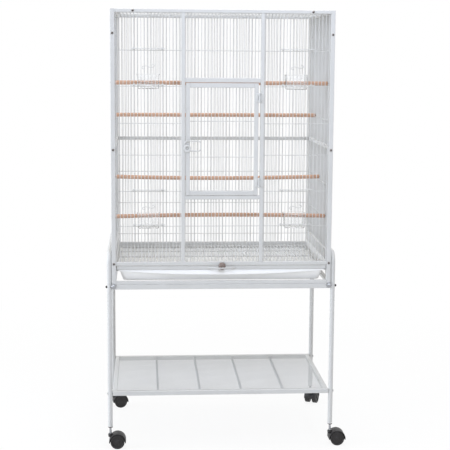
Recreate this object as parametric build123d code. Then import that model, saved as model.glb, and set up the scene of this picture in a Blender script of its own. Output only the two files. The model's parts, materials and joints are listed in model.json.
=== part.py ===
from build123d import *
import os

# Bird cage on a rolling stand, in millimetres. X runs along the front from left to right, the front faces -Y,
# Z is up, and the origin is on the floor under the middle of the cage.

# Cage box and the height of the stand that carries it.
CAGE_WIDTH = 800.0
CAGE_DEPTH = 530.0
CAGE_HEIGHT = 986.0
STAND_HEIGHT = 614.0

# Square steel tube of the panel frames.
TUBE = 16.0
TUBE_WALL = 1.2
TUBE_ROUND = 2.0
TOP_RAIL = 12.0
FOOT_RAIL = 12.0
BASE_RAIL = 13.4
SIDE_STILE = 13.0
MID_RAIL = 13.5
MULLION = 13.5
SILL_RAIL = 13.3
HEAD_RAIL = 16.0
BACK_PANEL_RISE = 6.4
KICK_PANEL = 67.0
ROOF_RAIL = 12.0
WELD_GAP = 0.05

# Wires of the panels.
WIRE = 2.4
WIRE_PITCH = 12.7
WIRE_SINK = 0.1
CROSS_PITCH = 127.0
CROSS_MARGIN = 40.0
SIDE_MID_HEIGHT = 408.0
CROSS_START = 88.0
SIDE_CROSS_DROP = 133.0
PLAIN_CROSS_HEIGHTS = (387.3, 500.4)
ROOF_CROSS_COUNT = 3

# Front door and the opening between the mullions, with heights above the base rail.
DOOR_OPENING_WIDTH = 270.0
DOOR_OPENING_HEIGHT = 406.0
DOOR_SILL_HEIGHT = 241.0
DOOR_END_GAP = 2.0
DOOR_STILE = 15.0
DOOR_RAIL = 16.5
DOOR_CROSS_HEIGHTS = (137.3, 265.9)
HINGE_GAP = 7.0
LATCH_GAP = 3.0
HINGE_HEIGHTS = (45.0, 350.0)
HINGE_LENGTH = 34.0
HINGE_PIN = 4.0
HINGE_FIT = 0.2
HINGE_BARREL = 6.4
HINGE_LEAF = 2.0
HINGE_LEAF_WIDTH = 12.0
HINGE_KNUCKLE = 17.4
RUN_GAP = 0.3

# Rotary latch on the door's free stile.
LATCH_HEIGHT = 169.0
LATCH_INSET = 4.5
LATCH_SHAFT = 5.0
LATCH_SHAFT_FIT = 0.2
LATCH_HUB = 27.0
LATCH_HUB_THICK = 7.0
LATCH_STANDOFF = 1.0
LATCH_RECESS = 12.0
LATCH_RECESS_DEPTH = 3.0
LEVER_WIRE = 4.5
LEVER_LENGTH = 57.5
LEVER_HEIGHT = 35.5
LEVER_BEND = 9.0
CAM_WIDTH = 9.0
CAM_REACH = 20.0
CAM_THICK = 2.4
CAM_GAP = 0.6

# Feeder doors and cups, two levels on each side of the door, with sills above the base rail.
FEEDER_SILLS = (129.8, 632.3)
FEEDER_HEIGHT = 126.4
GUIDE_STEP = 4
GUIDE_SLEEVE = 8.0
GUIDE_BORE = 3.2
GUIDE_SLEEVE_HEIGHT = 8.0
GUIDE_GAP = 0.5
FEEDER_BAR = 3.0
FEEDER_BAR_END = 9.7
CURL_RISE = 6.0
CURL_SWEEP_RADIUS = 26.0
CURL_SWEEP_ANGLE = 40.0
CURL_LEAN = 25.0
CURL_HOOK_RADIUS = 5.0
CURL_HOOK_ANGLE = 200.0
CUP_WIDTH = 80.0
CUP_DEPTH = 58.0
CUP_HEIGHT = 53.0
CUP_TAPER = 6.0
CUP_WALL = 2.0
CUP_ROUND = 8.0
CUP_DROP = 9.5
CUP_SETBACK = 1.4
HOOK_STEP = 1.5
HOOK_SIDE_GAP = 1.15
HOOK_THICK = 2.0
HOOK_DROP = 7.0

# Perches: gap between side wires counted from the middle, height above the base rail, and bow at mid length.
PERCHES = {"perch_1": (-14.5, 644.0, 0.0), "perch_2": (8.5, 515.0, 0.0),
           "perch_3": (-1.5, 287.0, -6.0), "perch_4": (-13.5, 155.0, 5.0)}
PERCH = 15.0
STUD = 5.0
STUD_FIT = 0.1
STUD_DEPTH = 20.0
PERCH_WASHER = 16.0
PERCH_WASHER_THICK = 1.5
WING_NUT = 10.0
WING_NUT_LENGTH = 6.0
WING_SPAN = 24.0
WING_HEIGHT = 4.5
WING_THICK = 2.0
STUD_END = 2.0

# Tray and floor grate, which slide out of the front on two runners.
TRAY_HEIGHT = 41.0
TRAY_WALL = 2.0
TRAY_SLOPE = 12.5
TRAY_BACK_GAP = 9.0
TRAY_FLANGE_DROP = 2.5
TRAY_LIP_OUT = 1.0
TRAY_LIP_END_GAP = 7.0
TRAY_LIP_END = 4.0
TRAY_LIP_MIDDLE = 18.0
TRAY_FRONT_INSET = 7.0
SLIDE_GAP = 1.0
RUNNER_SHEET = 2.0
RUNNER_LEDGE = 12.0
RUNNER_HEIGHT = 36.0
GRATE_SLOT = 15.6
GRATE_RIM = 5.0
GRATE_BARS = 3
STRIP_THICK = 2.0
STRIP_INSET = 4.0
STRIP_TOP_GAP = 1.2
KNOB_WIDTH = 26.0
KNOB_HEIGHT = 27.0
KNOB_THICK = 12.0
KNOB_ROUND = 4.0
KNOB_STANDOFF = 2.0
KNOB_NECK = 8.0
PULL_WIRE = 4.0
PULL_SPAN = 104.0
PULL_REACH = 24.0
PULL_HEIGHT = 7.5

# Fasteners of the cage panels.
PANEL_BOLT = 5.0
PANEL_BOLT_HEAD = 9.0
PANEL_BOLT_HEAD_HEIGHT = 3.2
PANEL_BOLT_HEAD_ROUND = 2.0
PANEL_BOLT_LENGTH = 22.0
PANEL_BOLT_FIT = 0.4
POST_BOLT_HEIGHTS = (76.0, 489.0, 901.0)
ROOF_BOLT_OUT = 320.0

# Stand: bent hoops, long rails, shelf and its fasteners.
HOOP_TUBE = 17.0
HOOP_WALL = 1.5
HOOP_BEND = 32.0
HOOP_RISE = 112.0
HOOP_SIDE_GAP = 0.3
HOOP_INSET = 9.0
LEG_END = 80.0
STAND_RAIL = 18.0
SHELF_HEIGHT = 198.0
SHELF_RAIL = 16.0
SHELF_BAR = 8.0
SHELF_BAR_HEIGHT = 10.0
SHELF_BARS = (-233.0, -77.0, 77.0, 233.0)
END_PLATE = 2.0
LEG_BOLT = 6.0
LEG_BOLT_FIT = 0.4
LEG_BOLT_HEAD = 10.0
LEG_BOLT_HEAD_HEIGHT = 6.0
LEG_BOLT_HEAD_ROUND = 3.5
CLAMP_BOLT = 6.0
CLAMP_BOLT_HEAD = 13.0
CLAMP_BOLT_HEAD_HEIGHT = 5.0
CLAMP_BOLT_HEAD_ROUND = 3.5
CLAMP_BOLT_LENGTH = 14.0
CLAMP_BOLT_DROP = 6.0
CLAMP_BOLT_INSET = 6.0
CLAMP_WASHER = 22.0
CLAMP_WASHER_THICK = 1.5

# Casters: rest turn of each one about its stem, in degrees, and its place by side signs.
CASTERS = {"front_left": (-1, -1, 0.0), "front_right": (1, -1, 0.0),
           "rear_left": (-1, 1, 10.0), "rear_right": (1, 1, 65.0)}
WHEEL = 52.0
WHEEL_WIDTH = 18.0
WHEEL_ROUND = 2.0
WHEEL_SIDE_GAP = 1.0
WHEEL_DISH = 36.0
WHEEL_HUB = 16.0
WHEEL_DISH_DEPTH = 3.0
AXLE = 6.0
AXLE_FIT = 0.2
AXLE_SHOULDER = 1.0
TRAIL = 26.0
HOOD_GAP = 1.6
HOOD_SHELL = 3.4
HOOD_SKIRT = 4.0
HOOD_WEB = 11.0
HOOD_BOSS = 16.0
STEM = 8.0
STEM_FIT = 0.2
STEM_SOCKET = 18.0
STEM_SHOW = 13.0
STEM_GRIP = 20.0
SOCKET_FLANGE = 3.0
SOCKET_LENGTH = 24.0
SOCKET_FIT = 0.2

# Levels of the cage, worked out from the sizes above.
foot = STAND_HEIGHT
top = foot + CAGE_HEIGHT
top_rail_low = top - TOP_RAIL
foot_rail_top = foot + FOOT_RAIL
tray_low = foot_rail_top + SLIDE_GAP
tray_top = tray_low + TRAY_HEIGHT
slot_top = tray_top + GRATE_SLOT
base_top = slot_top + BASE_RAIL
kick_top = tray_top + KICK_PANEL
back_panel_top = slot_top + BACK_PANEL_RISE
mid_low = base_top + SIDE_MID_HEIGHT
mid_top = mid_low + MID_RAIL
sill_top = base_top + DOOR_SILL_HEIGHT
sill_low = sill_top - SILL_RAIL
head_low = sill_top + DOOR_OPENING_HEIGHT
head_top = head_low + HEAD_RAIL
feeder_sills = [base_top + height for height in FEEDER_SILLS]

# Faces and wire planes of the cage.
half_width = CAGE_WIDTH / 2
half_depth = CAGE_DEPTH / 2
post_in = half_width - TUBE
panel_in = half_depth - TUBE
stile_in = panel_in - SIDE_STILE
front_y = (-half_depth, -panel_in)
back_y = (panel_in, half_depth)
opening_edge = DOOR_OPENING_WIDTH / 2
mullion_out = opening_edge + MULLION
wire_y = half_depth - TUBE / 2
wire_x = half_width - TUBE / 2
wire_step = WIRE - WIRE_SINK
cross_y = wire_y - wire_step
cross_x = wire_x - wire_step


def save(name, shapes):
    """Write one piece, or one group of like pieces, to its own file."""
    solids = [solid for shape in shapes for solid in shape.solids()]
    export_step(solids[0] if len(solids) == 1 else Compound(solids), f"parts/{name}.step")


def mirrored(limits, side):
    """Pair of limits on the right side, or its mirror image on the left side."""
    return limits if side > 0 else (-limits[1], -limits[0])


def block(x, y, z):
    """Solid block between pairs of limits."""
    size = Box(x[1] - x[0], y[1] - y[0], z[1] - z[0])
    return Pos((x[0] + x[1]) / 2, (y[0] + y[1]) / 2, (z[0] + z[1]) / 2) * size


def beam(axis, x, y, z, weld=WELD_GAP):
    """Hollow rectangular tube along one axis between pairs of limits, a hair short of its welds."""
    across_x, across_y, across_z = x[1] - x[0], y[1] - y[0], z[1] - z[0]
    mid_x, mid_y, mid_z = (x[0] + x[1]) / 2, (y[0] + y[1]) / 2, (z[0] + z[1]) / 2
    if axis == "X":
        start = Plane((x[0] + weld, mid_y, mid_z), x_dir=(0, 0, 1), z_dir=(1, 0, 0))
        width, depth, length = across_z, across_y, across_x
    elif axis == "Y":
        start = Plane((mid_x, y[0] + weld, mid_z), x_dir=(0, 0, 1), z_dir=(0, 1, 0))
        width, depth, length = across_z, across_x, across_y
    else:
        start = Plane((mid_x, mid_y, z[0] + weld), x_dir=(1, 0, 0), z_dir=(0, 0, 1))
        width, depth, length = across_x, across_y, across_z
    outside = RectangleRounded(width, depth, TUBE_ROUND)
    inside = Rectangle(width - 2 * TUBE_WALL, depth - 2 * TUBE_WALL)
    return start * extrude(outside - inside, amount=length - 2 * weld)


def rod(start, end, diameter, weld=0.0):
    """Round rod from one point to another, shortened at both ends by the weld gap."""
    way = Vector(*end) - Vector(*start)
    first = Vector(*start) + way.normalized() * weld
    return Solid.make_cylinder(diameter / 2, way.length - 2 * weld, Plane(first, z_dir=way))


def wire(start, end):
    """Panel wire between two tubes."""
    return rod(start, end, WIRE, WELD_GAP)


def wire_places(low, high):
    """Places of the wires in a field, one pitch apart and centred."""
    count = int(((high - low) / 2 - WIRE) / WIRE_PITCH)
    return {step: (low + high) / 2 + step * WIRE_PITCH for step in range(-count, count + 1)}


def cross_heights(start, limit):
    """Heights of cross wires from a first height up to a limit."""
    heights = []
    while start < limit:
        heights.append(start)
        start += CROSS_PITCH
    return heights


def bolt(diameter, length, head, head_height, head_round):
    """Dome-headed bolt along -Z from its seat at the origin."""
    shank = Pos(0, 0, -length / 2) * Cylinder(diameter / 2, length)
    cap = Pos(0, 0, head_height / 2) * Cylinder(head / 2, head_height)
    cap = fillet(cap.edges().group_by(Axis.Z)[-1], head_round)
    return shank + cap


def bolt_hole(x, y, z):
    """Cutter for a panel bolt along Y, centred on the face at the given Y."""
    return rod((x, y - 2 * TUBE, z), (x, y + 2 * TUBE, z), PANEL_BOLT + PANEL_BOLT_FIT)


def washer(outside, bore, thick):
    """Flat washer on the XY plane."""
    return extrude(Circle(outside / 2) - Circle(bore / 2), amount=thick)


def corner_posts(y):
    """Left and right corner post of the front or back panel, each closed on top by a cap."""
    posts = []
    for side in (-1, 1):
        x = mirrored((post_in, half_width), side)
        shell = beam("Z", x, y, (foot, top), weld=0.0)
        for height in POST_BOLT_HEIGHTS:
            shell -= bolt_hole(side * wire_x, y[0], foot + height)
        inset = TUBE_WALL + WELD_GAP
        cap = block((x[0] + inset, x[1] - inset), (y[0] + inset, y[1] - inset), (top - TUBE_WALL, top))
        posts += [shell, cap]
    return posts


def top_rail(y):
    """Front or back top rail, drilled for the roof bolts."""
    rail = beam("X", (-post_in, post_in), y, (top_rail_low, top))
    for side in (-1, 1):
        rail -= bolt_hole(side * ROOF_BOLT_OUT, y[0], top - TOP_RAIL / 2)
    return rail


def front_frame():
    """Welded frame of the front panel, with the door opening between its mullions."""
    across = (-post_in, post_in)
    opening = (-opening_edge, opening_edge)
    pieces = corner_posts(front_y) + [top_rail(front_y)]
    pieces.append(beam("X", across, front_y, (slot_top, base_top)))
    pieces.append(beam("X", across, front_y, (foot, foot_rail_top)))
    pieces.append(beam("X", opening, front_y, (sill_low, sill_top)))
    pieces.append(beam("X", opening, front_y, (head_low, head_top)))
    for side in (-1, 1):
        x = mirrored((opening_edge, mullion_out), side)
        pieces.append(beam("Z", x, front_y, (base_top, top_rail_low)))
    return pieces


def front_wires():
    """Wires of the front panel, left open behind the feeder doors."""
    pieces = []
    heads = [sill + FEEDER_HEIGHT for sill in feeder_sills]
    cut_spans = [(base_top, feeder_sills[0] + WIRE / 2), (heads[0] - WIRE / 2, feeder_sills[1] + WIRE / 2),
                 (heads[1] - WIRE / 2, top_rail_low)]
    crosses = feeder_sills + heads + [base_top + height for height in PLAIN_CROSS_HEIGHTS]
    for side in (-1, 1):
        field = mirrored((mullion_out, post_in), side)
        for step, x in wire_places(*field).items():
            spans = cut_spans if abs(step) < GUIDE_STEP else [(base_top, top_rail_low)]
            pieces += [wire((x, -wire_y, low), (x, -wire_y, high)) for low, high in spans]
        pieces += [wire((field[0], -cross_y, z), (field[1], -cross_y, z)) for z in crosses]
    for low, high, z in ((base_top, sill_low, feeder_sills[0]), (head_top, top_rail_low, heads[1])):
        places = wire_places(-opening_edge, opening_edge).values()
        pieces += [wire((x, -wire_y, low), (x, -wire_y, high)) for x in places]
        pieces.append(wire((-opening_edge, -cross_y, z), (opening_edge, -cross_y, z)))
    return pieces


def side_frame(side):
    """Welded frame of a side panel, drilled for the bolts of the front and back panels."""
    x = mirrored((post_in, half_width), side)
    pieces = []
    for y in ((-panel_in, -stile_in), (stile_in, panel_in)):
        stile = beam("Z", x, y, (foot, top))
        for height in POST_BOLT_HEIGHTS:
            stile -= bolt_hole(side * wire_x, y[0], foot + height)
        pieces.append(stile)
    between = (-stile_in, stile_in)
    for z in ((top_rail_low, top), (mid_low, mid_top), (tray_top, kick_top), (foot, foot_rail_top)):
        pieces.append(beam("Y", x, between, z))
    return pieces


def side_wires(side):
    """Wires of a side panel, with the cross wires on the inside."""
    x = side * wire_x
    inner = side * cross_x
    pieces = []
    for low, high in ((kick_top, mid_low), (mid_top, top_rail_low)):
        pieces += [wire((x, y, low), (x, y, high)) for y in wire_places(-stile_in, stile_in).values()]
    crosses = cross_heights(mid_top + CROSS_START, top_rail_low - CROSS_MARGIN)
    drop = mid_low - SIDE_CROSS_DROP
    while drop > kick_top + CROSS_MARGIN:
        crosses.append(drop)
        drop -= CROSS_PITCH
    pieces += [wire((inner, -stile_in, z), (inner, stile_in, z)) for z in crosses]
    return pieces


def back_frame():
    """Welded frame of the back panel, closed behind the tray."""
    across = (-post_in, post_in)
    pieces = corner_posts(back_y) + [top_rail(back_y)]
    for z in ((mid_low, mid_top), (tray_low, back_panel_top), (foot, foot_rail_top)):
        pieces.append(beam("X", across, back_y, z))
    return pieces


def back_wires():
    """Wires of the back panel, with the cross wires on the inside."""
    pieces = []
    for low, high in ((back_panel_top, mid_low), (mid_top, top_rail_low)):
        pieces += [wire((x, wire_y, low), (x, wire_y, high)) for x in wire_places(-post_in, post_in).values()]
    crosses = cross_heights(mid_top + CROSS_START, top_rail_low - CROSS_MARGIN)
    drop = mid_low - CROSS_PITCH
    while drop > back_panel_top + CROSS_MARGIN / 2:
        crosses.append(drop)
        drop -= CROSS_PITCH
    pieces += [wire((-post_in, cross_y, z), (post_in, cross_y, z)) for z in crosses]
    return pieces


def roof_frame():
    """Welded frame of the roof panel, inside the four top rails and drilled for its bolts."""
    z = (top_rail_low, top)
    rail_in = panel_in - ROOF_RAIL
    pieces = []
    for y in ((-panel_in, -rail_in), (rail_in, panel_in)):
        rail = beam("X", (-post_in, post_in), y, z)
        for side in (-1, 1):
            rail -= bolt_hole(side * ROOF_BOLT_OUT, y[0], top - TOP_RAIL / 2)
        pieces.append(rail)
    for side in (-1, 1):
        x = mirrored((post_in - ROOF_RAIL, post_in), side)
        pieces.append(beam("Y", x, (-rail_in, rail_in), z))
    return pieces


def roof_wires():
    """Wires of the roof panel from front to back, with cross wires underneath."""
    z = top - TOP_RAIL / 2
    rail_in = panel_in - ROOF_RAIL
    end_in = post_in - ROOF_RAIL
    pieces = [wire((x, -rail_in, z), (x, rail_in, z)) for x in wire_places(-end_in, end_in).values()]
    spacing = 2 * rail_in / (ROOF_CROSS_COUNT + 1)
    for index in range(1, ROOF_CROSS_COUNT + 1):
        y = -rail_in + index * spacing
        pieces.append(wire((-end_in, y, z - wire_step), (end_in, y, z - wire_step)))
    return pieces


def panel_bolts():
    """Bolts through the front and back panels into the side and roof panels."""
    pieces = []
    for facing in (-1, 1):
        places = [(side * wire_x, foot + height) for side in (-1, 1) for height in POST_BOLT_HEIGHTS]
        places += [(side * ROOF_BOLT_OUT, top - TOP_RAIL / 2) for side in (-1, 1)]
        for x, z in places:
            seat = Plane((x, facing * half_depth, z), x_dir=(1, 0, 0), z_dir=(0, facing, 0))
            pieces.append(seat * bolt(PANEL_BOLT, PANEL_BOLT_LENGTH, PANEL_BOLT_HEAD,
                                      PANEL_BOLT_HEAD_HEIGHT, PANEL_BOLT_HEAD_ROUND))
    return pieces


# Door limits and hinge axis, shared by the frame, the hinges and the latch.
door_x = (-opening_edge + LATCH_GAP, opening_edge - HINGE_GAP)
door_z = (sill_top + DOOR_END_GAP, head_low - DOOR_END_GAP)
door_field = (door_x[0] + DOOR_STILE, door_x[1] - DOOR_STILE)
hinge_x = opening_edge - HINGE_GAP / 2
hinge_y = -half_depth - HINGE_BARREL / 2
latch_x = door_x[0] + LATCH_INSET
latch_z = door_z[0] + LATCH_HEIGHT
hub_y = (-half_depth - LATCH_STANDOFF - LATCH_HUB_THICK, -half_depth - LATCH_STANDOFF)
cam_y = (-panel_in + CAM_GAP, -panel_in + CAM_GAP + CAM_THICK)


def door_frame():
    """Welded door frame, drilled through its free stile for the latch shaft."""
    free_stile = beam("Z", (door_x[0], door_field[0]), front_y, door_z, weld=0.0)
    free_stile -= rod((latch_x, -half_depth - TUBE, latch_z), (latch_x, -panel_in + TUBE, latch_z),
                      LATCH_SHAFT + LATCH_SHAFT_FIT)
    pieces = [free_stile, beam("Z", (door_field[1], door_x[1]), front_y, door_z, weld=0.0)]
    for z in ((door_z[0], door_z[0] + DOOR_RAIL), (door_z[1] - DOOR_RAIL, door_z[1])):
        pieces.append(beam("X", door_field, front_y, z))
    return pieces


def door_wires():
    """Wires of the door, with the cross wires on the inside."""
    low, high = door_z[0] + DOOR_RAIL, door_z[1] - DOOR_RAIL
    pieces = [wire((x, -wire_y, low), (x, -wire_y, high)) for x in wire_places(*door_field).values()]
    for height in DOOR_CROSS_HEIGHTS:
        z = door_z[0] + height
        pieces.append(wire((door_field[0], -cross_y, z), (door_field[1], -cross_y, z)))
    return pieces


def hinge_pin(z):
    """Fixed hinge half: a leaf on the mullion, two end barrels and the pin between them."""
    half = HINGE_LENGTH / 2
    leaf_y = (-half_depth - HINGE_LEAF, -half_depth)
    leaf = block((opening_edge, opening_edge + HINGE_LEAF_WIDTH), leaf_y, (z - half, z + half))
    piece = leaf + rod((hinge_x, hinge_y, z - half), (hinge_x, hinge_y, z + half), HINGE_PIN)
    inner = HINGE_KNUCKLE / 2 + RUN_GAP
    for ends in ((z - half, z - inner), (z + inner, z + half)):
        piece += rod((hinge_x, hinge_y, ends[0]), (hinge_x, hinge_y, ends[1]), HINGE_BARREL)
        piece += block((hinge_x, opening_edge + HINGE_LEAF), leaf_y, ends)
    return piece


def hinge_knuckle(z):
    """Moving hinge half: a bored barrel on the pin and a leaf on the door's stile."""
    half = HINGE_KNUCKLE / 2
    leaf_y = (-half_depth - HINGE_LEAF, -half_depth)
    piece = rod((hinge_x, hinge_y, z - half), (hinge_x, hinge_y, z + half), HINGE_BARREL)
    piece += block((door_x[1] - HINGE_LEAF, hinge_x), leaf_y, (z - half, z + half))
    piece += block((door_x[1] - HINGE_LEAF_WIDTH, door_x[1]), leaf_y,
                   (z - HINGE_LENGTH / 2, z + HINGE_LENGTH / 2))
    return piece - rod((hinge_x, hinge_y, z - half), (hinge_x, hinge_y, z + half), HINGE_PIN + HINGE_FIT)


def latch_hub():
    """Round latch hub with a finger recess and the shaft that passes through the stile."""
    hub = rod((latch_x, hub_y[0], latch_z), (latch_x, hub_y[1], latch_z), LATCH_HUB)
    hub += rod((latch_x, hub_y[1], latch_z), (latch_x, cam_y[1], latch_z), LATCH_SHAFT)
    recess_end = hub_y[0] + LATCH_RECESS_DEPTH
    return hub - rod((latch_x, hub_y[0], latch_z), (latch_x, recess_end, latch_z), LATCH_RECESS)


def latch_lever():
    """Bent wire loop beside the hub, cut where it meets the hub."""
    loop_path = RectangleRounded(LEVER_LENGTH, LEVER_HEIGHT, LEVER_BEND).wire()
    start = Plane(loop_path @ 0, z_dir=loop_path % 0)
    loop = sweep(start * Circle(LEVER_WIRE / 2), path=loop_path)
    centre_x = latch_x - LATCH_HUB / 2 + LEVER_WIRE + LEVER_LENGTH / 2
    centre_z = latch_z - LATCH_HUB / 2 + LEVER_WIRE + LEVER_HEIGHT / 2
    loop = Pos(centre_x, (hub_y[0] + hub_y[1]) / 2, centre_z) * Rot(90, 0, 0) * loop
    return loop - rod((latch_x, hub_y[0], latch_z), (latch_x, hub_y[1], latch_z), LATCH_HUB)


def latch_cam():
    """Flat cam behind the stile, which turns behind the mullion."""
    cam = block((latch_x - CAM_WIDTH / 2, latch_x + CAM_WIDTH / 2), cam_y,
                (latch_z - CAM_WIDTH / 2, latch_z + CAM_REACH))
    return cam - rod((latch_x, cam_y[0], latch_z), (latch_x, cam_y[1], latch_z), LATCH_SHAFT + STUD_FIT)


# Feeder planes, stepped forward from the panel's wires.
bar_y = -wire_y - GUIDE_SLEEVE / 2 - FEEDER_BAR / 2 + WIRE_SINK
feeder_wire_y = bar_y + FEEDER_BAR / 2 + WIRE / 2 - WIRE_SINK
feeder_x = (mullion_out + post_in) / 2


def curl():
    """S-shaped wire in the XY plane, centred on the origin."""
    sweep_arc = JernArc(start=(0, 0), tangent=Vector(1, 0).rotate(Axis.Z, -CURL_LEAN),
                        radius=CURL_SWEEP_RADIUS, arc_size=CURL_SWEEP_ANGLE)
    hook_arc = JernArc(start=sweep_arc @ 1, tangent=sweep_arc % 1, radius=CURL_HOOK_RADIUS,
                       arc_size=CURL_HOOK_ANGLE)
    path = Wire([sweep_arc.edge(), hook_arc.edge()])
    half = sweep(Plane((0, 0), z_dir=sweep_arc % 0) * Circle(WIRE / 2), path=path)
    return [half, Rot(0, 0, 180) * half]


def feeder_door(x, sill):
    """Sliding wire door over a feeder opening, guided by sleeves on two of the panel's wires."""
    rise = WIRE / 2 + GUIDE_GAP + GUIDE_SLEEVE_HEIGHT / 2
    bars = (sill + rise, sill + FEEDER_HEIGHT + rise)
    guide = GUIDE_STEP * WIRE_PITCH
    pieces = []
    for z in bars:
        end = guide + FEEDER_BAR_END
        pieces.append(rod((x - end, bar_y, z), (x + end, bar_y, z), FEEDER_BAR))
        for side in (-1, 1):
            sleeve = washer(GUIDE_SLEEVE, GUIDE_BORE, GUIDE_SLEEVE_HEIGHT)
            pieces.append(Pos(x + side * guide, -wire_y, z - GUIDE_SLEEVE_HEIGHT / 2) * sleeve)
    for step in range(1 - GUIDE_STEP, GUIDE_STEP):
        at = x + step * WIRE_PITCH
        pieces.append(rod((at, feeder_wire_y, bars[0]), (at, feeder_wire_y, bars[1]), WIRE))
    middle = sill + FEEDER_HEIGHT / 2 + CURL_RISE
    place = Pos(x, feeder_wire_y - wire_step, middle) * Rot(90, 0, 0)
    return pieces + [place * half for half in curl()]


def feeder_cup(x, sill):
    """Clear feeder cup with two hooks over the cross wire below the opening."""
    front = -cross_y + WIRE / 2 + CUP_SETBACK
    low, high = sill - CUP_DROP, sill - CUP_DROP + CUP_HEIGHT

    def level(z, inset):
        width = CUP_WIDTH - 2 * inset - CUP_TAPER * (high - z) / CUP_HEIGHT
        depth = CUP_DEPTH - 2 * inset - CUP_TAPER * (high - z) / CUP_HEIGHT
        return Pos(x, front + inset + depth / 2, z) * RectangleRounded(width, depth, CUP_ROUND - inset)

    cup = loft([level(low, 0), level(high, 0)], ruled=True)
    hook_low = sill + WIRE / 2 + RUN_GAP
    lip_back = -cross_y - WIRE / 2 - RUN_GAP
    half_hook = WIRE_PITCH / 2 - WIRE / 2 - HOOK_SIDE_GAP
    for side in (-1, 1):
        at = x + side * HOOK_STEP * WIRE_PITCH
        hook_x = (at - half_hook, at + half_hook)
        cup += block(hook_x, (lip_back - HOOK_THICK, front + CUP_WALL / 2), (hook_low, hook_low + HOOK_THICK))
        cup += block(hook_x, (lip_back - HOOK_THICK, lip_back), (sill - HOOK_DROP, hook_low + HOOK_THICK))
    return cup - loft([level(low + CUP_WALL, CUP_WALL), level(high, CUP_WALL)], ruled=True)


# Perch ends, just inside the cross wires, and the outer face of the side wires.
perch_end = cross_x - WIRE / 2 - RUN_GAP
washer_seat = wire_x + WIRE / 2 + STUD_FIT


def perch_at(name):
    """Place of a perch's stud axis: its Y and Z."""
    gap, height, _ = PERCHES[name]
    return gap * WIRE_PITCH, base_top + height


def perch(name):
    """Wooden perch from side to side, straight or a little bowed, bored for its studs."""
    y, z = perch_at(name)
    bow = PERCHES[name][2]
    if bow:
        line = ThreePointArc((-perch_end, y, z), (0, y, z + bow), (perch_end, y, z))
        bar = sweep(Plane(line @ 0, z_dir=line % 0) * Circle(PERCH / 2), path=line)
        bar &= block((-perch_end, perch_end), (y - PERCH, y + PERCH), (z - 2 * PERCH, z + 2 * PERCH))
    else:
        bar = rod((-perch_end, y, z), (perch_end, y, z), PERCH)
    for side in (-1, 1):
        inner = side * (perch_end - STUD_DEPTH - STUD_FIT)
        bar -= rod((inner, y, z), (side * (perch_end + STUD), y, z), STUD + STUD_FIT)
    return bar


def wing_nut():
    """Wing nut along Z from its seat at the origin."""
    nut = extrude(Circle(WING_NUT / 2), amount=WING_NUT_LENGTH)
    wings = Pos(0, 0, WING_NUT_LENGTH - WING_HEIGHT / 2) * Box(WING_SPAN, WING_THICK, WING_HEIGHT)
    bore = extrude(Circle((STUD + STUD_FIT) / 2), amount=WING_NUT_LENGTH + WING_HEIGHT)
    return nut + wings - bore


def perch_fasteners():
    """Studs, washers and wing nuts at both ends of every perch."""
    studs, washers, nuts = [], [], []
    nut_seat = washer_seat + PERCH_WASHER_THICK + STUD_FIT
    for name in PERCHES:
        y, z = perch_at(name)
        for side in (-1, 1):
            outer = side * (nut_seat + WING_NUT_LENGTH + STUD_END)
            studs.append(rod((side * (perch_end - STUD_DEPTH), y, z), (outer, y, z), STUD))
            outward = {"x_dir": (0, 1, 0), "z_dir": (side, 0, 0)}
            ring = washer(PERCH_WASHER, STUD + STUD_FIT, PERCH_WASHER_THICK)
            washers.append(Plane((side * washer_seat, y, z), **outward) * ring)
            nuts.append(Plane((side * nut_seat, y, z), **outward) * wing_nut())
    return studs, washers, nuts


# Runner ledges, and the limits of what slides on them.
flange_top = tray_top - TRAY_FLANGE_DROP
flange_low = flange_top - TRAY_WALL
tray_ledge_top = flange_low - RUN_GAP
grate_ledge_low = tray_top + SLIDE_GAP
grate_ledge_top = grate_ledge_low + RUNNER_SHEET
slide_half = post_in - RUNNER_SHEET - SLIDE_GAP
ledge_half = post_in - RUNNER_LEDGE


def tray_runner(side):
    """Folded side runner with one ledge for the tray and one for the grate."""
    low = tray_ledge_top - RUNNER_SHEET
    high = low + RUNNER_HEIGHT
    web = post_in - RUNNER_SHEET
    outline = [(post_in, low), (ledge_half, low), (ledge_half, tray_ledge_top), (web, tray_ledge_top),
               (web, grate_ledge_low), (ledge_half, grate_ledge_low), (ledge_half, grate_ledge_top),
               (web, grate_ledge_top), (web, high), (post_in, high)]
    points = [(side * x, -panel_in, z) for x, z in outline]
    face = make_face(Polyline(*points, close=True))
    return extrude(face, amount=2 * panel_in, dir=(0, 1, 0))


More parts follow.
